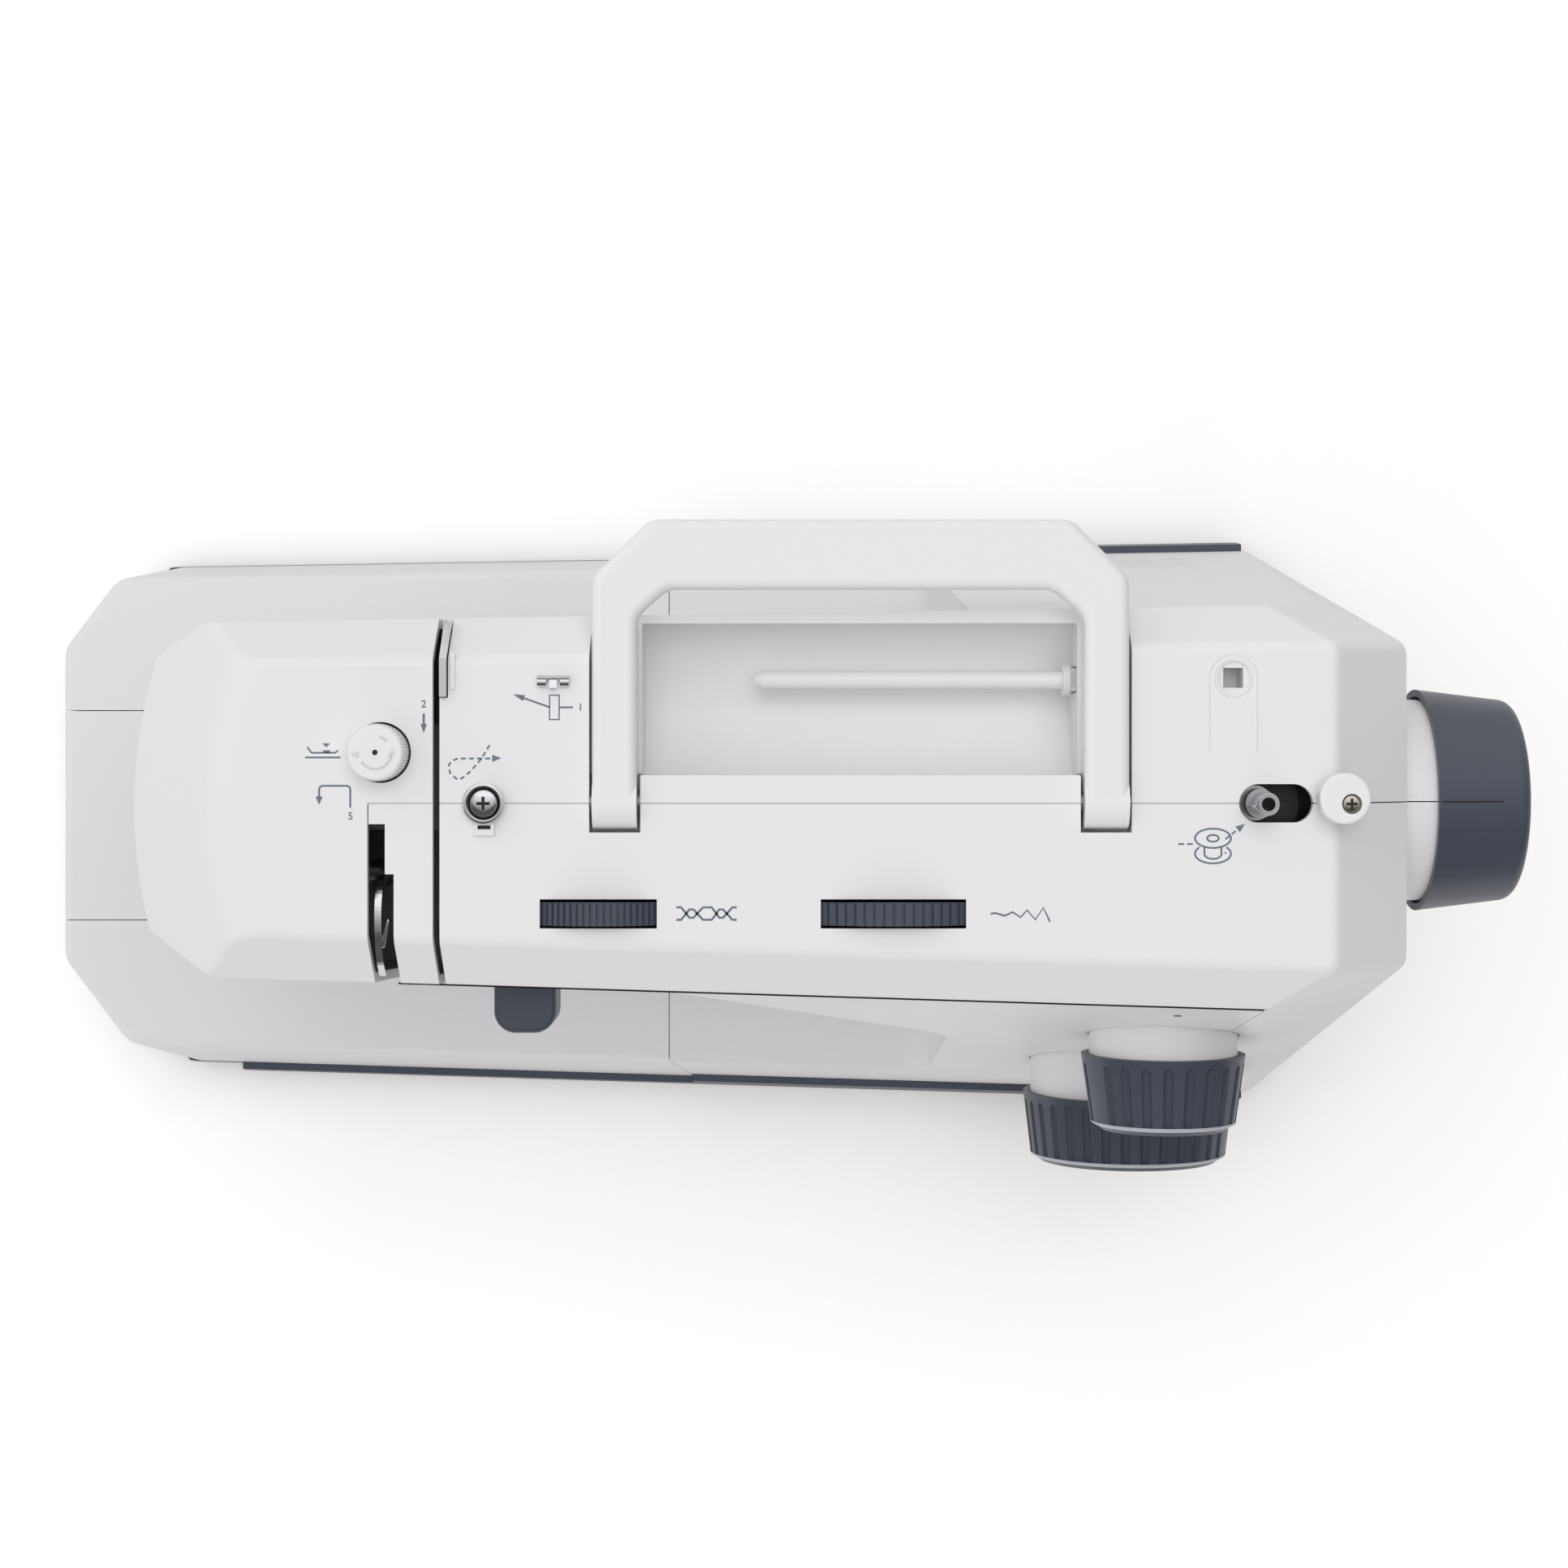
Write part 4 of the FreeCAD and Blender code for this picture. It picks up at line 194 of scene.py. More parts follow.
# Every finished piece sits at the origin with its place in its vertices
def place(name, mesh, finish, body):
    mesh.name = name
    mesh.materials.clear()
    mesh.materials.append(finish)
    piece = bpy.data.objects.new(name, mesh)
    scene.collection.objects.link(piece)
    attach(piece, body)
    return piece


def meshOf(points, faces):
    mesh = bpy.data.meshes.new("shape")
    mesh.from_pydata([Vector(p) * mm for p in points], [], faces)
    mesh.validate()
    return mesh


def merged(meshes):
    shape = bmesh.new()
    for mesh in meshes:
        shape.from_mesh(mesh)
    bmesh.ops.recalc_face_normals(shape, faces=shape.faces)
    whole = bpy.data.meshes.new("merged")
    shape.to_mesh(whole)
    shape.free()
    return whole


# A ring or disc turned about an axis, from a closed outline of (radius, height)
def turned(outline, centre, axis=(0, 0, 1), steps=64, smooth=True):
    toAxis = Vector((0, 0, 1)).rotation_difference(Vector(axis)).to_matrix()
    points, faces = [], []
    rows = []
    for radius, height in outline:
        if radius < 1e-6:
            rows.append([len(points)])
            points.append(Vector(centre) + toAxis @ Vector((0, 0, height)))
            continue
        row = []
        for n in range(steps):
            a = 2 * math.pi * n / steps
            row.append(len(points))
            spoke = Vector((radius * math.cos(a), radius * math.sin(a), height))
            points.append(Vector(centre) + toAxis @ spoke)
        rows.append(row)
    for a, b in zip(rows, rows[1:] + rows[:1]):
        if len(a) == 1 and len(b) == 1:
            continue
        for n in range(steps):
            m = (n + 1) % steps
            ring = [a[n % len(a)], a[m % len(a)], b[m % len(b)], b[n % len(b)]]
            faces.append(list(dict.fromkeys(ring)))
    mesh = merged([meshOf(points, faces)])
    for face in mesh.polygons:
        face.use_smooth = smooth
    if smooth:
        mesh.set_sharp_from_angle(angle=math.radians(35))
    return mesh


def slab(outline, z0, z1):
    count = len(outline)
    points = [(x, y, z0) for x, y in outline] + [(x, y, z1) for x, y in outline]
    faces = [list(range(count))[::-1], list(range(count, 2 * count))]
    for n in range(count):
        m = (n + 1) % count
        faces.append([n, m, m + count, n + count])
    return merged([meshOf(points, faces)])


# Strokes follow a path: a rectangle is swept along every line
def strokeTree():
    tree = bpy.data.node_groups.new("strokeAlong", "GeometryNodeTree")
    face = tree.interface
    face.new_socket("Geometry", in_out="INPUT", socket_type="NodeSocketGeometry")
    for label, value in (("Width", 0.0004), ("Height", 0.00006)):
        face.new_socket(label, in_out="INPUT", socket_type="NodeSocketFloat").default_value = value
    face.new_socket("Finish", in_out="INPUT", socket_type="NodeSocketMaterial")
    face.new_socket("Geometry", in_out="OUTPUT", socket_type="NodeSocketGeometry")
    given = tree.nodes.new("NodeGroupInput")
    out = tree.nodes.new("NodeGroupOutput")
    curve = tree.nodes.new("GeometryNodeMeshToCurve")
    upright = tree.nodes.new("GeometryNodeSetCurveNormal")
    upright.mode = "Z_UP"
    profile = tree.nodes.new("GeometryNodeCurvePrimitiveQuadrilateral")
    sweep = newNode(tree, "GeometryNodeCurveToMesh", Fill_Caps=True)
    real = tree.nodes.new("GeometryNodeRealizeInstances")
    paint = tree.nodes.new("GeometryNodeSetMaterial")
    join(tree, given, "Geometry", curve, "Mesh")
    join(tree, curve, "Curve", upright, "Curve")
    join(tree, upright, "Curve", sweep, "Curve")
    join(tree, given, "Width", profile, "Width")
    join(tree, given, "Height", profile, "Height")
    join(tree, profile, "Curve", sweep, "Profile Curve")
    join(tree, sweep, "Mesh", real, "Geometry")
    join(tree, real, "Geometry", paint, "Geometry")
    join(tree, given, "Finish", paint, "Material")
    join(tree, paint, "Geometry", out, "Geometry")
    return tree


# A shape repeated round a circle that lies across Z
def ringTree():
    tree = bpy.data.node_groups.new("ringOf", "GeometryNodeTree")
    face = tree.interface
    face.new_socket("Geometry", in_out="INPUT", socket_type="NodeSocketGeometry")
    face.new_socket("Count", in_out="INPUT", socket_type="NodeSocketInt").default_value = 12
    face.new_socket("Radius", in_out="INPUT", socket_type="NodeSocketFloat").default_value = 0.01
    face.new_socket("Finish", in_out="INPUT", socket_type="NodeSocketMaterial")
    face.new_socket("Geometry", in_out="OUTPUT", socket_type="NodeSocketGeometry")
    given = tree.nodes.new("NodeGroupInput")
    out = tree.nodes.new("NodeGroupOutput")
    circle = tree.nodes.new("GeometryNodeMeshCircle")
    position = tree.nodes.new("GeometryNodeInputPosition")
    turn = tree.nodes.new("FunctionNodeAlignRotationToVector")
    turn.axis = "X"
    turn.pivot_axis = "Z"
    each = tree.nodes.new("GeometryNodeInstanceOnPoints")
    real = tree.nodes.new("GeometryNodeRealizeInstances")
    paint = tree.nodes.new("GeometryNodeSetMaterial")
    join(tree, given, "Count", circle, "Vertices")
    join(tree, given, "Radius", circle, "Radius")
    join(tree, circle, "Mesh", each, "Points")
    join(tree, given, "Geometry", each, "Instance")
    join(tree, position, "Position", turn, "Vector")
    join(tree, turn, "Rotation", each, "Rotation")
    join(tree, each, "Instances", real, "Geometry")
    join(tree, real, "Geometry", paint, "Geometry")
    join(tree, given, "Finish", paint, "Material")
    join(tree, paint, "Geometry", out, "Geometry")
    return tree


strokeAlong = strokeTree()
ringOf = ringTree()


def grown(mesh, tree, **inputs):
    holder = bpy.data.objects.new("holder", mesh)
    scene.collection.objects.link(holder)
    step = holder.modifiers.new("grow", "NODES")
    step.node_group = tree
    for item in tree.interface.items_tree:
        if item.in_out == "INPUT" and item.name in inputs:
            step[item.identifier] = inputs[item.name]
    bpy.context.view_layer.update()
    made = bpy.data.meshes.new_from_object(holder.evaluated_get(bpy.context.evaluated_depsgraph_get()))
    holder.modifiers.clear()
    bpy.data.objects.remove(holder)
    return made


def strokes(lines, z, width, height=0.06, finish=inkPrint):
    points, edges = [], []
    for line in lines:
        start = len(points)
        points += [Vector((x, y, z)) * mm for x, y in line]
        edges += [(start + n, start + n + 1) for n in range(len(line) - 1)]
        if line[0] == line[-1]:
            points.pop()
            edges[-1] = (len(points) - 1, start)
    mesh = bpy.data.meshes.new("lines")
    mesh.from_pydata(points, edges, [])
    return grown(mesh, strokeAlong, Width=width * mm, Height=height * mm, Finish=finish)


def ellipse(x, y, rx, ry, start=0, end=360, steps=40):
    turns = [math.radians(start + (end - start) * n / steps) for n in range(steps + 1)]
    line = [(x + rx * math.cos(a), y + ry * math.sin(a)) for a in turns]
    if abs(end - start) == 360:
        line[-1] = line[0]
    return line


def dashes(line, dash, gap):
    pieces, piece, left, on = [], [line[0]], dash, True
    for a, b in zip(line, line[1:]):
        a, b = Vector(a), Vector(b)
        while (b - a).length > left:
            a = a + (b - a).normalized() * left
            piece.append(tuple(a))
            if on:
                pieces.append(piece)
            on = not on
            left = dash if on else gap
            piece = [tuple(a)]
        left -= (b - a).length
        piece.append(tuple(b))
    if on and len(piece) > 1:
        pieces.append(piece)
    return pieces


def arrowHead(tip, towards, length, width):
    tip, along = Vector(tip), Vector(towards).normalized()
    side = Vector((-along.y, along.x)) * width / 2
    back = tip - along * length
    return [tuple(tip), tuple(back + side), tuple(back - side)]


def digit(text, x, y, height, z):
    curve = bpy.data.curves.new("digit", "FONT")
    curve.body = text
    curve.size = height * mm / 0.7
    curve.align_x = "CENTER"
    curve.align_y = "CENTER"
    curve.extrude = 0.03 * mm
    curve.offset = 0.045 * mm
    holder = bpy.data.objects.new("digit", curve)
    scene.collection.objects.link(holder)
    bpy.context.view_layer.update()
    made = bpy.data.meshes.new_from_object(holder.evaluated_get(bpy.context.evaluated_depsgraph_get()))
    bpy.data.objects.remove(holder)
    made.transform(Matrix.Translation(Vector((x, y, z)) * mm))
    shape = bmesh.new()
    shape.from_mesh(made)
    bmesh.ops.remove_doubles(shape, verts=shape.verts, dist=1e-7)
    shape.to_mesh(made)
    shape.free()
    return made


roof = 290.0
inkLow = roof - 0.03
inkHigh = roof + 0.03


def shifted(line, centre):
    return [(x + centre[0], y + centre[1]) for x, y in line]


def mark(name, centre, lines=(), fills=(), width=0.48, digits=()):
    parts = []
    if lines:
        parts.append(strokes([shifted(line, centre) for line in lines], roof, width))
    for fill in fills:
        parts.append(slab(shifted(fill, centre), inkLow, inkHigh))
    for text, x, y, height in digits:
        parts.append(digit(text, centre[0] + x, centre[1] + y, height, roof))
    return place(name, merged(parts), inkPrint, "machine")


# Printed function marks on the roof
spoolThread = dict(name="mark_spool_thread", centre=(-36.6, 38.3))
mark(
    **spoolThread,
    lines=[
        [(-1.25, -3.15), (1.25, -3.15), (1.25, 3.15), (-1.25, 3.15), (-1.25, -3.15)],
        [(-1.25, 0.05), (-8.6, 2.65)],
        [(1.3, 0), (4.8, 0)],
    ],
    fills=[arrowHead((-10.7, 3.4), (-9.45, 3.35), 3.0, 1.7)],
    digits=[("1", 6.8, 0, 1.9)],
)
rearThread = dict(name="mark_rear_thread", centre=(-70.5, 36.0))
mark(
    **rearThread,
    lines=[[(0, 0.7), (0, -2.4)]],
    fills=[arrowHead((0, -4.4), (0, -1), 2.4, 1.7)],
    width=0.6,
    digits=[("2", 0, 3.1, 1.9)],
)
winderLoop = dict(name="mark_pretension_loop", centre=(-56.9, 24.1))
loop = [
    (3.48, 4.42), (1.41, 0.94), (-1.41, -2.35), (-3.76, -4.23), (-4.89, -4.51), (-6.77, -2.82),
    (-7.14, -0.94), (-6.39, 0.28), (-4.7, 0.94), (4.23, 0.94),
]
mark(
    **winderLoop,
    lines=dashes(loop, 1.3, 0.8),
    fills=[arrowHead((6.58, 1.03), (1, 0.02), 2.4, 1.9)],
)
pressure = dict(name="mark_foot_pressure", centre=(-96.6, 26.9))
mark(
    **pressure,
    lines=[[(-4.7, -1.6), (4.5, -1.6)], [(-4.1, 1.13), (-3.0, -0.38), (3.1, -0.38), (3.85, 0.19)]],
    fills=[
        [(0, -0.47), (1.8, -0.47), (1.8, 0.28), (0, 0.28)],
        [(-0.28, 2.07), (0.85, 1.03), (1.88, 2.07)],
    ],
)
takeUpTurn = dict(name="mark_take_up", centre=(-93.5, 15.6))
corner = ellipse(2.95, 1.35, 1, 1, 0, 90, 6) + ellipse(-3.14, 1.35, 1, 1, 90, 180, 6)
mark(
    **takeUpTurn,
    lines=[[(3.95, -3.3)] + corner + [(-4.14, -0.7)]],
    fills=[arrowHead((-4.14, -2.6), (0, -1), 2.2, 1.9)],
    width=0.5,
    digits=[("5", 4.0, -5.6, 1.9)],
)
chain = dict(name="mark_thread_tension", centre=(2.9, -15.2))
chainX = (-7.82, -6.61, -5.27, -4.47, -3.39, -2.45, -0.91, 1.31, 2.59, 3.26, 4.26, 5.27, 6.68, 7.82)
chainY = (1.61, 1.61, 0, -1.07, -1.07, 0, 1.61, 1.61, 0, -1.07, -1.07, 0, 1.61, 1.61)
mark(
    **chain,
    lines=[list(zip(chainX, chainY)), [(x, -y) for x, y in zip(chainX, chainY)]],
    width=0.6,
)
zigzag = dict(name="mark_stitch_width", centre=(84.3, -15.3))
zigX = (-7.66, -6.58, -4.03, -1.95, 0.07, 1.81, 3.89, 5.98, 7.72)
zigY = (0, 0.27, -0.47, 0.47, -0.87, 1.0, -1.48, 1.61, -2.0)
mark(**zigzag, lines=[list(zip(zigX, zigY))], width=0.52)
bobbinMark = dict(name="mark_bobbin_winding", centre=(134.3, 2.5))
mark(
    **bobbinMark,
    lines=[
        ellipse(0, 1.84, 4.66, 2.5),
        ellipse(0, 1.84, 1.5, 0.87),
        ellipse(0, -2.17, 4.66, 2.5, 138, 402),
        [(-2.2, -0.5)] + ellipse(0, -2.3, 2.2, 1.2, 180, 360, 16) + [(2.2, -0.5)],
        *dashes([(-9, 0.33), (-4.9, 0.33)], 1.5, 0.8),
        *dashes([(3.25, 1.6), (6.6, 4.3)], 1.3, 0.8),
    ],
    fills=[arrowHead((8.3, 5.6), (5.05, 4.0), 2.4, 1.9), ellipse(3.25, -1.95, 0.25, 0.25, 0, 350, 12)],
    width=0.48,
)
print("stage: marks")


def boxed(x0, x1, y0, y1, z0, z1):
    return slab([(x0, y0), (x1, y0), (x1, y1), (x0, y1)], z0, z1)


def rodded(a, b, radius, steps=20):
    along = Vector(b) - Vector(a)
    length = along.length
    dome = [(radius * math.cos(t), radius * math.sin(t)) for t in (0.5, 1.0)]
    outline = [(0, -radius)] + [(r, -h) for r, h in reversed(dome)] + [(radius, 0), (radius, length)]
    outline += [(r, length + h) for r, h in dome] + [(0, length + radius)]
    return turned(outline, a, along, steps)


# A plate across X, from a middle line in Y and Z and its width
def strap(line, width, x0, x1):
    line = [Vector(p) for p in line]
    left, right = [], []
    for n, p in enumerate(line):
        along = (line[min(n + 1, len(line) - 1)] - line[max(n - 1, 0)]).normalized()
        side = Vector((-along.y, along.x)) * width / 2
        left.append(p + side)
        right.append(p - side)
    outline = left + right[::-1]
    mesh = slab([tuple(p) for p in outline], x0, x1)
    mesh.transform(Matrix(((0, 0, 1, 0), (1, 0, 0, 0), (0, 1, 0, 0), (0, 0, 0, 1))))
    return mesh


def curved(points, steps=8):
    ends = [points[0]] + list(points) + [points[-1]]
    line = []
    for a, b, c, d in zip(ends, ends[1:], ends[2:], ends[3:]):
        a, b, c, d = (Vector(v) for v in (a, b, c, d))
        for n in range(steps):
            t = n / steps
            square = (2 * a - 5 * b + 4 * c - d) * t**2
            cube = (3 * b - a - 3 * c + d) * t**3
            line.append(0.5 * (2 * b + (c - a) * t + square + cube))
    return line + [Vector(points[-1])]


def carved(mesh, cutter):
    whole = bpy.data.objects.new("whole", mesh)
    tool = bpy.data.objects.new("tool", cutter)
    for made in (whole, tool):
        scene.collection.objects.link(made)
    step = whole.modifiers.new("cut", "BOOLEAN")
    step.operation = "DIFFERENCE"
    step.object = tool
    bpy.context.view_layer.update()
    result = bpy.data.meshes.new_from_object(whole.evaluated_get(bpy.context.evaluated_depsgraph_get()))
    bpy.data.objects.remove(whole)
    bpy.data.objects.remove(tool)
    return result


# A screw head on +Z with a cross cut into it, and a black cross at the bottom of the cut that is painted
# shade
def screwHead(centre, radius, height, arm, width, depth):
    dome = ((1, 0), (1, 0.45), (0.86, 0.75), (0.5, 0.95))
    outer = [(radius * across, height * up) for across, up in dome]
    head = turned([(0, 0)] + outer + [(0, height)], centre, steps=40)
    x, y, z = centre
    low, high = z + height - depth, z + height + 1
    w = width / 2
    cross = [
        (arm, w), (w, w), (w, arm), (-w, arm), (-w, w), (-arm, w),
        (-arm, -w), (-w, -w), (-w, -arm), (w, -arm), (w, -w), (arm, -w),
    ]
    outline = [(x + a, y + b) for a, b in cross]
    return carved(head, slab(outline, low, high)), slab(outline, low - 0.05, low + 0.3)


def screw(name, finish, slot, **sizes):
    head, recessShade = screwHead(**sizes)
    place(name, head, finish, "machine")
    place(name + "_recess_painted_shade", recessShade, blackPlasticAndShade, "machine")


parting = 13.4
needleX = -81.7

# Pretension guide: a chrome cup and screw on a white foot with a slotted tab
pretension = dict(
    x=-54.7, y=parting, foot=5.4, footTop=1.1, cup=5.45, cupTop=3.3, bore=4.35, floor=4.3,
    tab=(2.6, 4.6, 8.3), tabTop=1.5, slot=(1.7, 5.7, 6.7),
    screw=dict(radius=3.8, height=2.6, arm=1.75, width=0.8, depth=0.7),
)
px, py = pretension["x"], pretension["y"]
sunk = roof - 0.2
tabHalf, tabNear, tabFar = pretension["tab"]
slotHalf, slotNear, slotFar = pretension["slot"]


def slotBox(low, high):
    return boxed(px - slotHalf, px + slotHalf, py - slotFar, py - slotNear, roof + low, roof + high)


footRadius, footTop = pretension["foot"], pretension["footTop"]
footOutline = [(0, -0.2), (footRadius, -0.2), (footRadius, 0.7), (footRadius - 0.2, footTop), (0, footTop)]
foot = turned(footOutline, (px, py, roof))
tabBlock = boxed(px - tabHalf, px + tabHalf, py - tabFar, py - tabNear, sunk, roof + pretension["tabTop"])
tabPlate = carved(tabBlock, slotBox(0.4, 3))
place("pretension_foot", merged([foot, tabPlate]), whiteShell, "machine")
# The black piece at the bottom of the tab's slot is painted shade
place("pretension_slot_painted_shade", slotBox(0.3, 0.5), blackPlasticAndShade, "machine")
cupRadius, cupTop, cupBore = pretension["cup"], pretension["cupTop"], pretension["bore"]
cup = turned(
    [
        (cupBore, 1.0), (cupRadius, 1.0), (cupRadius, cupTop - 0.4), (cupRadius - 0.2, cupTop - 0.15),
        (cupBore + 0.25, cupTop), (cupBore, cupTop - 0.2),
    ],
    (px, py, roof),
)
cupPiece = place("pretension_cup", cup, brightMetal, "machine")
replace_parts(cupPiece, "pretension_guide")
# The black disc on the cup's floor, seen round the screw, is painted shade
cupShadeRadius = pretension["floor"]
place(
    "pretension_floor_painted_shade", turned([(0, 1.0), (cupShadeRadius, 1.0), (cupShadeRadius, 1.3), (0, 1.3)], (px, py, roof)),
    blackPlasticAndShade, "machine",
)
screw("pretension_screw", brightMetal, "bright_metal", centre=(px, py, roof + 1.25), **pretension["screw"])

# Thread guide on the roof: a bar with two rolls and a tongue
topGuide = dict(
    x=-36.8, y=44.9, half=4.1, bar=(0.9, 1.6), barTop=2.2, roll=1.2, rollLength=2.25,
    tongue=1.0, tongueRise=((1.2, 1.3), (-1.7, 2.2)), tongueThick=0.5,
)
gx, gy = topGuide["x"], topGuide["y"]
barNear, barFar = topGuide["bar"]
guideHalf, tongueHalf = topGuide["half"], topGuide["tongue"]
tongueLine = [(gy + y, roof + z) for y, z in topGuide["tongueRise"]]
guideParts = [
    boxed(gx - guideHalf, gx + guideHalf, gy + barNear, gy + barFar, sunk, roof + topGuide["barTop"]),
    strap(tongueLine, topGuide["tongueThick"], gx - tongueHalf, gx + tongueHalf),
]
rollRadius, rollLength = topGuide["roll"], topGuide["rollLength"]
rollOutline = [(0, 0), (rollRadius, 0), (rollRadius, rollLength), (0, rollLength)]
for rollX in (gx - guideHalf, gx + guideHalf - rollLength):
    guideParts.append(turned(rollOutline, (rollX, gy - 0.1, roof + 1.1), (1, 0, 0), 32))
guidePiece = place("thread_guide_pegs", merged(guideParts), brightMetal, "machine")
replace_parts(guidePiece, "top_thread_guide")

# White rib beside the rear clip
clipRib = dict(x0=-63.6, x1=-62.4, y0=43.0, y1=52.6, z0=sunk, z1=roof + 0.8)
place("clip_rib", boxed(**clipRib), whiteShell, "machine")

# Take-up lever: cranked, so that it lies close under the slot
takeUp = dict(
    x0=-84.0, x1=-82.2, width=2.6, pivot=(-6.0, 236.0), boss=(6, 2), stud=(3, 13.7), studOffset=16,
    crank=((-4.5, 262), (-6, 276), (-12, 283.2), (-20, 283.6), (-27, 280.6), (-31.5, 275.2)),
)


def disc(size, x, steps):
    radius, length = size
    outline = [(0, 0), (radius, 0), (radius, length), (0, length)]
    return turned(outline, (x, *takeUp["pivot"]), (1, 0, 0), steps)


leverLine = curved([takeUp["pivot"], *takeUp["crank"]])
lever = strap(leverLine, takeUp["width"], takeUp["x0"], takeUp["x1"])
boss = disc(takeUp["boss"], takeUp["x0"], 40)
stud = disc(takeUp["stud"], needleX - takeUp["studOffset"], 32)
hookWire = rodded((takeUp["x1"], -24.0, 281.6), (takeUp["x1"] + 1.6, -17.5, 283.4), 0.7)
leverParts = merged([lever, boss, stud, hookWire])
leverPiece = place("take_up_arm", leverParts, brightMetal, "take_up")
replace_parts(leverPiece, "take_up_lever")

# Pressure knob: dot, raised arrows and a knurled side; the arrows are a darker grey than the knob, as painted
# shade for their raised edges
knob = dict(x=needleX, y=26.6, top=300.0, radius=7.2)
kx, ky, kz = knob["x"], knob["y"], knob["top"]
place(
    "knob_dot", turned([(0, -3.5), (0.7, -3.5), (0.7, -0.08), (0, -0.08)], (kx, ky, kz), steps=24),
    blackPlasticAndShade, "pressure_knob",
)
place(
    "knob_plug",
    turned([(0.72, -3.5), (1.39, -3.5), (1.39, -0.02), (0.72, -0.02)], (kx, ky, kz), steps=32),
    whiteShell, "pressure_knob",
)
arcs = [ellipse(kx, ky, 4.2, 4.2, 215, 350, 20), ellipse(kx, ky, 4.2, 4.2, 45, 75, 6)]
heads = [
    slab(shifted(arrowHead((-6.2, -0.4), (-1, 0.15), 1.9, 1.7), (kx, ky)), kz - 0.05, kz + 0.2),
    slab(shifted(arrowHead((4.4, 0.9), (0.1, 1), 1.7, 1.7), (kx, ky)), kz - 0.05, kz + 0.2),
]
place(
    "knob_arrows", merged([strokes(arcs, kz, 0.5, 0.4, palePrintAndShade)] + heads),
    palePrintAndShade, "pressure_knob",
)
rib = boxed(-0.05, 0.22, -0.17, 0.17, -8.2, -2.2)
knurl = grown(rib, ringOf, Count=56, Radius=knob["radius"] * mm, Finish=whiteShell)
knurl.transform(Matrix.Translation(Vector((kx, ky, kz)) * mm))
place("knob_knurl", knurl, whiteShell, "pressure_knob")

# Bobbin winder: the spindle is a tube, with a spring in its side, over a friction tyre
winder = dict(x=146.3, y=parting, bore=1.75, radius=2.95, floor=296.0, top=304.0, spring=(-2.75, -0.6))
winderBase = (winder["x"], winder["y"], 0)
spindle = turned(
    [
        (0, 266.0), (9, 266.0), (9, 271.5), (2.4, 271.5), (2.4, 280.7), (4.6, 280.7), (4.6, 283.7),
        (3.8, 283.7), (3.8, 292.0), (winder["radius"], 292.0), (winder["radius"], winder["top"] - 0.7),
        (2.4, winder["top"]), (winder["bore"], winder["top"]), (winder["bore"], winder["floor"]),
        (0, winder["floor"]),
    ],
    winderBase, steps=48,
)
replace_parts(place("winder_tube", spindle, steel, "winder_spindle"), "winder_spindle")
# The black disc at the bottom of the spindle's bore is painted shade
boreLow, boreHigh = winder["floor"] - 0.1, winder["floor"] + 0.4
boreShade = turned([(0, boreLow), (1.7, boreLow), (1.7, boreHigh), (0, boreHigh)], winderBase, steps=32)
place("winder_bore_painted_shade", boreShade, blackPlasticAndShade, "winder_spindle")
springX, springY = winder["x"] + winder["spring"][0], winder["y"] + winder["spring"][1]
spring = rodded((springX, springY, 293.5), (springX, springY, 302.0), 0.45, 12)
place("winder_spring", spring, steel, "winder_spindle")

# Screw of the winder's stop, and the two screws of the needle plate
stopScrew = dict(centre=(168.5, parting, 297.6), radius=2.4, height=1.7)
screw("stop_screw", nickel, "steel", **stopScrew, arm=1.4, width=0.7, depth=0.6)
plateScrew = dict(radius=3.0, height=1.3, arm=1.8, width=0.7, depth=0.6)
for label, screwX in (("left", -111.0), ("right", -47.0)):
    screw("plate_screw_" + label, steel, "steel", centre=(screwX, 31.0, 64.6), **plateScrew)

# Seam guides on the needle plate
plateLines = dict(top=66.0, y0=16.0, y1=27.0, pitch=5.0, first=2, count=5)
guides = []
for n in range(plateLines["count"]):
    reach = (plateLines["first"] + n) * plateLines["pitch"]
    for x in (needleX - reach, needleX + reach):
        guides.append([(x, plateLines["y0"]), (x, plateLines["y1"])])
place(
    "plate_guides", strokes(guides, plateLines["top"], 0.4, 0.06, blackPlasticAndShade), blackPlasticAndShade,
    "machine",
)

# Dials: a pale grey ring at the nose that is a painted highlight on the edge, a black ring behind the rim
# that is painted shade in the gap, and a pointer
dialX = 133.0
pointerSize = dict(half=0.5, face=2.4, thick=0.06, start=0.45, end=0.8)
dials = (
    dict(name="length_dial", z=205.0, rear=-60.6, nose=-80.0, noseRadius=20.9, skirt=21.4),
    dict(name="pattern_dial", z=122.0, rear=-81.5, nose=-100.9, noseRadius=31.0, skirt=31.0),
)
for dial in dials:
    noseRadius, skirt = dial["noseRadius"], dial["skirt"]
    noseHighlight = turned(
        [
            (noseRadius - 1.2, 0.2), (noseRadius + 0.1, -0.15), (noseRadius + 0.08, 0.25),
            (noseRadius - 0.3, 0.6), (noseRadius - 1.2, 1.1),
        ],
        (dialX, dial["nose"], dial["z"]), (0, -1, 0), 96,
    )
    place(dial["name"] + "_edge", noseHighlight, paleLineAndHighlight, dial["name"])
    gap = turned(
        [(skirt, -0.05), (skirt + 0.9, -0.05), (skirt + 0.9, 0.06), (skirt, 0.06)],
        (dialX, dial["rear"], dial["z"]), (0, 1, 0), 96,
    )
    place(dial["name"] + "_gap_painted_shade", gap, blackPlasticAndShade, dial["name"])
    face = dial["nose"] - pointerSize["face"]
    pointer = boxed(
        dialX - pointerSize["half"], dialX + pointerSize["half"],
        face - pointerSize["thick"], face + pointerSize["thick"],
        dial["z"] + noseRadius * pointerSize["start"], dial["z"] + noseRadius * pointerSize["end"],
    )
    place(dial["name"] + "_pointer", pointer, paleLineAndHighlight, dial["name"])

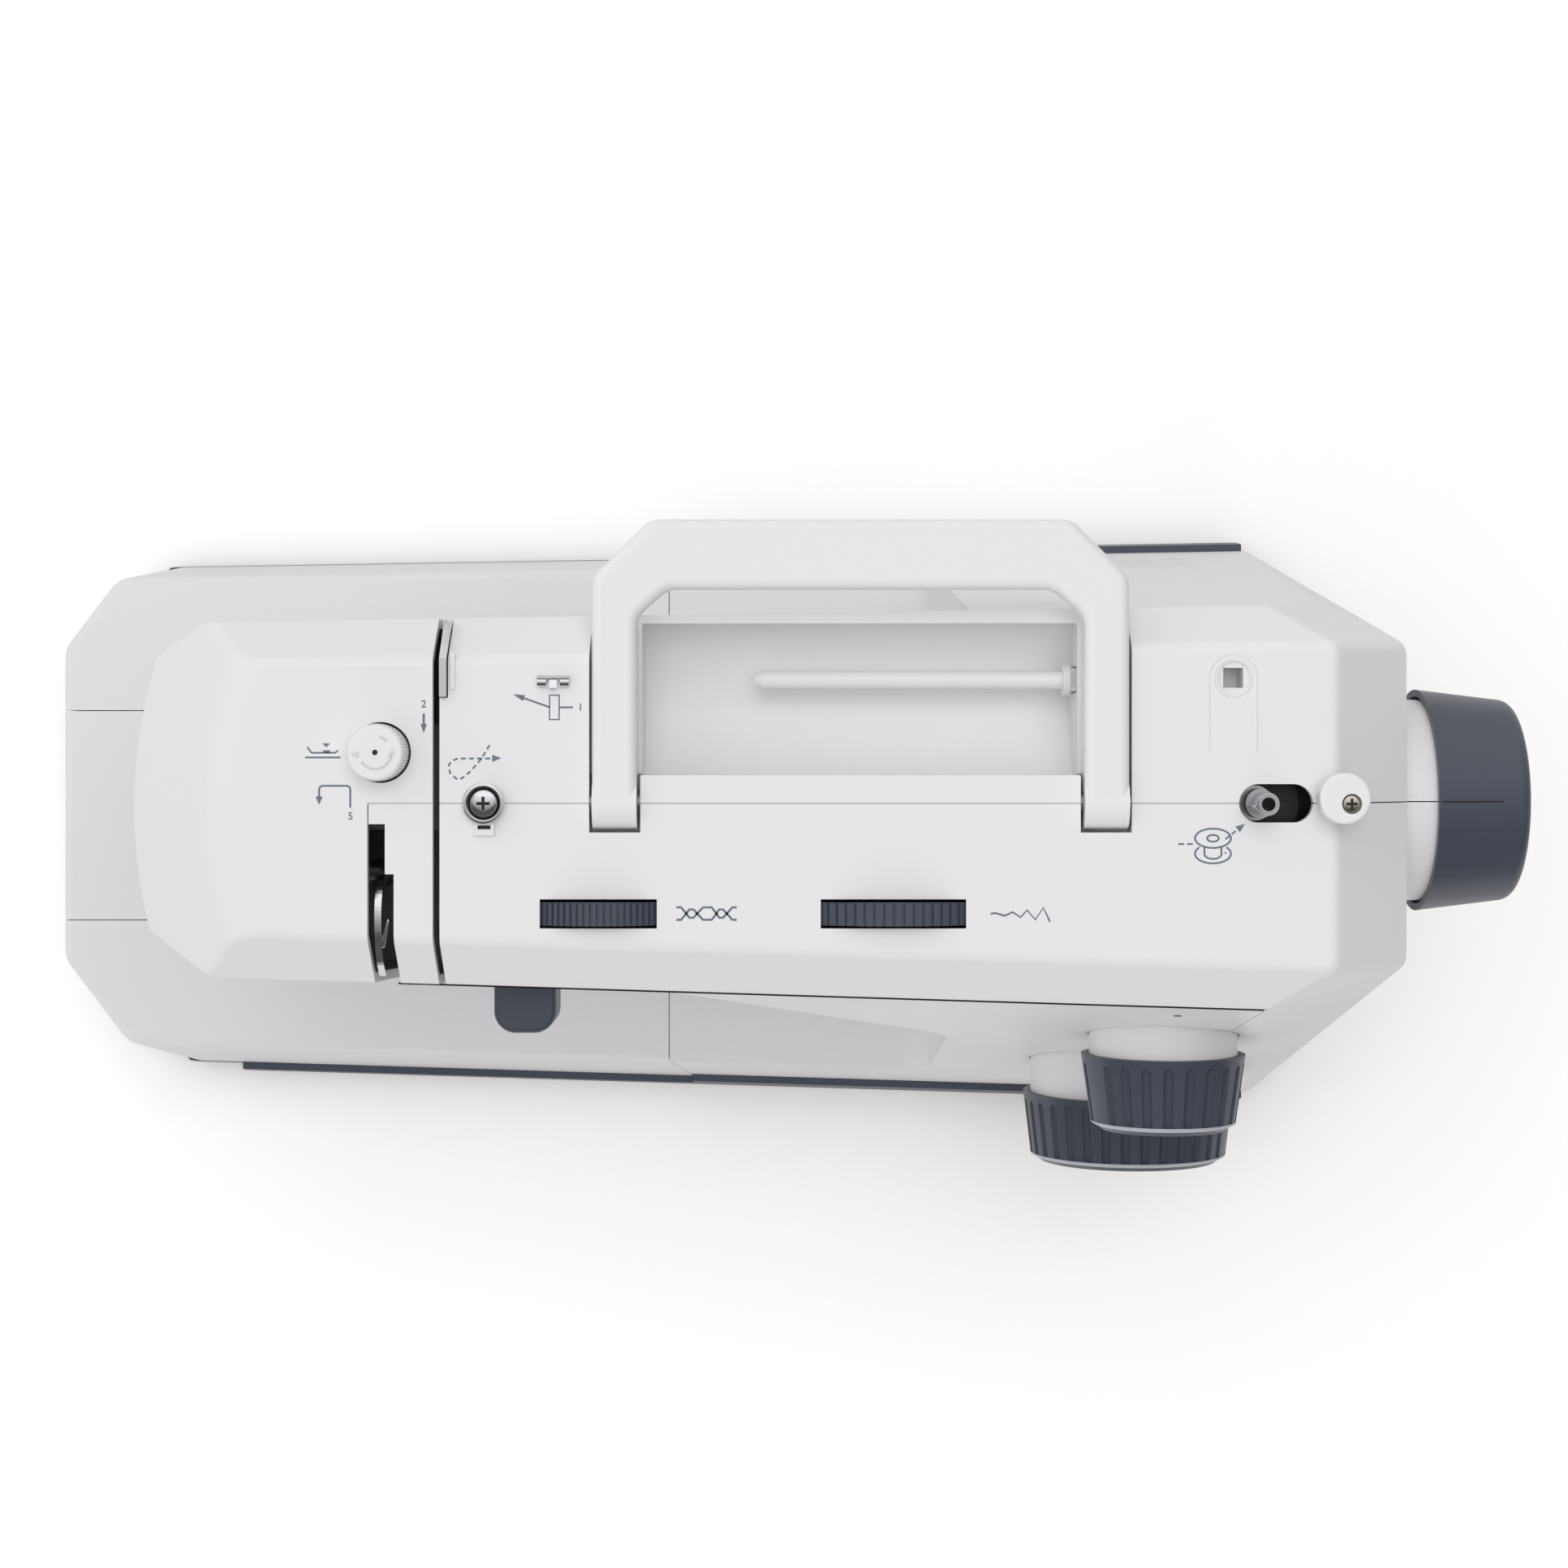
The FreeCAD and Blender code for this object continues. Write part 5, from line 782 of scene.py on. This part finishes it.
# Handwheel: a scribed line that carries on the seam
wheel = dict(x0=199.6, x1=216.5, r0=30.73, r1=28.65, z=235.0)
scribedLine = [(wheel["x0"], wheel["z"] + wheel["r0"]), (wheel["x1"], wheel["z"] + wheel["r1"])]
scribed = strap(scribedLine, 0.1, 0, 0.4)
scribed.transform(Matrix(((0, 1, 0, 0), (1, 0, 0, (parting - 0.2) * mm), (0, 0, 1, 0), (0, 0, 0, 1))))
place("handwheel_line", merged([scribed]), blackPlasticAndShade, "handwheel")

# On and off marks, bent round the rocker of the power switch
rocker = dict(x=182.2, y=45.0, z=104.0, radius=12.39, rise=4.4)
onLine = [(rocker["y"], rocker["rise"] - 1.3), (rocker["y"], rocker["rise"] + 1.3)]
switchMarks = strokes([onLine, ellipse(rocker["y"], -rocker["rise"], 1.4, 1.4)], 0, 0.4, 0.12, palePrintAndShade)
for vertex in switchMarks.vertices:
    across, along, out = vertex.co / mm
    angle = along / rocker["radius"]
    reach = rocker["radius"] + out
    bent = (rocker["x"] + reach * math.cos(angle), across, rocker["z"] + reach * math.sin(angle))
    vertex.co = Vector(bent) * mm
place("switch_marks", switchMarks, palePrintAndShade, "power_switch")

# Raised rim round the second spool socket
socket = dict(x=139.5, y=45.9, half=6.2, foot=27.0, ring=4.9)
sx, sy = socket["x"], socket["y"]
rim = [(sx + socket["half"], socket["foot"])] + ellipse(sx, sy, socket["half"], socket["half"], 0, 180, 24)
rim.append((sx - socket["half"], socket["foot"]))
ridge = strokes([rim, ellipse(sx, sy, socket["ring"], socket["ring"])], roof, 0.34, 0.3, whiteShell)
place("socket_rim", ridge, whiteShell, "machine")
socketStep = dict(x0=138.1, x1=141.3, y0=32.0, y1=41.75, z0=roof - 0.6, z1=roof)
place("socket_step", boxed(**socketStep), whiteShell, "machine")

# Dark seam under the front bevel, and the tick over the upper dial
frontSlope = -0.031
seamFront = dict(x0=-79.0, x1=150.0, y=-36.8, z=275.85)
seamLine = [(x, seamFront["y"] + frontSlope * x - 0.1) for x in (seamFront["x0"], seamFront["x1"])]
place(
    "front_seam", strokes([seamLine], seamFront["z"], 0.5, 0.25, blackPlasticAndShade), blackPlasticAndShade,
    "machine",
)
stripSeam = [(-85.0, parting), (-68.3, parting)]
place(
    "strip_seam", strokes([stripSeam], roof - 0.03, 0.28, 0.1, paleLineAndHighlight), paleLineAndHighlight, "machine",
)
seamRuns = [(-66.2, -27.8), (-14.1, 99.8), (113.5, 141.0), (160.8, 164.0)]
seamParts = [boxed(x0, x1, parting - 0.14, parting + 0.14, roof - 0.4, roof - 0.08) for x0, x1 in seamRuns]
place("roof_seam", merged(seamParts), paleLineAndHighlight, "machine")
indexTick = dict(x=130.0, y=-44.85, z=255.5)
tick = boxed(
    indexTick["x"] - 0.9, indexTick["x"] + 0.9, indexTick["y"] - 0.3, indexTick["y"] + 0.5,
    indexTick["z"] - 1.2, indexTick["z"] + 1.2,
)
place("dial_tick", tick, inkPrint, "machine")

# The base pan stays inside the cut corners on the right
panTrim = dict(x0=187.0, x1=230.0, y0=-130.0, y1=130.0, z0=-5.0, z1=40.0)
panMesh = carved(nodes["base_pan"].data.copy(), boxed(**panTrim))
trimmed = place("base_pan_trimmed", panMesh, darkPlastic, "machine")
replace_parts(trimmed, "base_pan")
print("stage: fittings")

# Camera, straight above, fitted to the photo
view = bpy.data.cameras.new("view")
view.sensor_width = 36
view.lens = 63.35
view.shift_y = -36 / 1932
view.clip_start = 0.01
view.clip_end = 20
camera = bpy.data.objects.new("camera", view)
camera.location = (0.023, 0.026, 1.006)
scene.collection.objects.link(camera)
scene.camera = camera

# Pale floor: it keeps the shadow, is lighter for the camera only, and fades to white far out
floorMesh = bpy.data.meshes.new("floor")
floorMesh.from_pydata([(-3, -3, 0), (3, -3, 0), (3, 3, 0), (-3, 3, 0)], [], [(0, 1, 2, 3)])
floor = bpy.data.objects.new("floor", floorMesh)
scene.collection.objects.link(floor)
floorLook = bpy.data.materials.new("floorLook")
floorLook.use_nodes = True
floorTree = floorLook.node_tree
floorTree.nodes.clear()
matt = floorTree.nodes.new("ShaderNodeBsdfDiffuse")
floorPath = floorTree.nodes.new("ShaderNodeLightPath")
byCamera = floorPath.outputs["Is Camera Ray"]
floorOut = floorTree.nodes.new("ShaderNodeOutputMaterial")
paleness = maths(floorTree, "ADD", maths(floorTree, "MULTIPLY", byCamera, 0.22), 0.9)
floorTree.links.new(paleness, matt.inputs["Color"])
floorPlace = floorTree.nodes.new("ShaderNodeTexCoord")
outward = floorTree.nodes.new("ShaderNodeVectorMath")
outward.operation = "LENGTH"
join(floorTree, floorPlace, "Object", outward, 0)
fade = newNode(floorTree, "ShaderNodeMapRange", From_Min=0.45, From_Max=1.3, To_Min=0.0, To_Max=0.7)
join(floorTree, outward, "Value", fade, "Value")
glow = newNode(floorTree, "ShaderNodeEmission", Color=(1, 1, 1, 1))
farGlow = maths(floorTree, "MULTIPLY", fade.outputs[0], byCamera)
floorTree.links.new(farGlow, glow.inputs["Strength"])
both = floorTree.nodes.new("ShaderNodeAddShader")
floorTree.links.new(matt.outputs[0], both.inputs[0])
floorTree.links.new(glow.outputs[0], both.inputs[1])
floorTree.links.new(both.outputs[0], floorOut.inputs["Surface"])
floorMesh.materials.append(floorLook)

# World: white to the camera, softer as light, graded for reflections
world = bpy.data.worlds.new("studio")
scene.world = world
world.use_nodes = True
sky = world.node_tree
sky.nodes.clear()
skyPath = sky.nodes.new("ShaderNodeLightPath")
skyPlace = sky.nodes.new("ShaderNodeTexCoord")
skyParts = sky.nodes.new("ShaderNodeSeparateXYZ")
join(sky, skyPlace, "Generated", skyParts, "Vector")
graded = newNode(sky, "ShaderNodeMapRange", From_Min=0.0, From_Max=0.9, To_Min=0.1, To_Max=1.15)
upward = maths(sky, "MULTIPLY", skyParts.outputs["Z"], 0.5)
rearward = maths(sky, "MULTIPLY", skyParts.outputs["Y"], 0.9)
sky.links.new(maths(sky, "ADD", upward, rearward), graded.inputs["Value"])
leftward = maths(sky, "MULTIPLY", skyParts.outputs["X"], -0.38)
behind = maths(sky, "MULTIPLY", skyParts.outputs["Y"], 0.14)
ambient = maths(sky, "ADD", maths(sky, "ADD", leftward, behind), 0.62)
reflected = maths(sky, "SUBTRACT", graded.outputs[0], ambient)
glossy = maths(sky, "MULTIPLY", skyPath.outputs["Is Glossy Ray"], reflected)
direct = maths(sky, "MAXIMUM", skyPath.outputs["Is Camera Ray"], skyPath.outputs["Is Transmission Ray"])
shown = maths(sky, "MULTIPLY", direct, maths(sky, "SUBTRACT", 1.0, ambient))
level = maths(sky, "ADD", shown, maths(sky, "ADD", glossy, ambient))
air = newNode(sky, "ShaderNodeBackground", Color=(1, 1, 1, 1))
sky.links.new(level, air.inputs["Strength"])
skyOut = sky.nodes.new("ShaderNodeOutputWorld")
sky.links.new(air.outputs[0], skyOut.inputs["Surface"])


def lamp(name, where, size, power):
    light = bpy.data.lights.new(name, "AREA")
    light.shape = "RECTANGLE"
    light.size, light.size_y = size
    light.energy = power
    made = bpy.data.objects.new(name, light)
    made.location = where
    made.rotation_mode = "QUATERNION"
    made.rotation_quaternion = (Vector((0, 0, 0.2)) - Vector(where)).to_track_quat("-Z", "Y")
    made.visible_camera = False
    made.visible_glossy = False
    scene.collection.objects.link(made)


lamp("softTop", (0.1, 0.3, 1.7), (1.0, 1.0), 9.5)
lamp("frontFill", (0.0, -1.5, 0.7), (1.6, 0.6), 4)
scene.view_settings.view_transform = "Standard"
print("stage: stage and light")
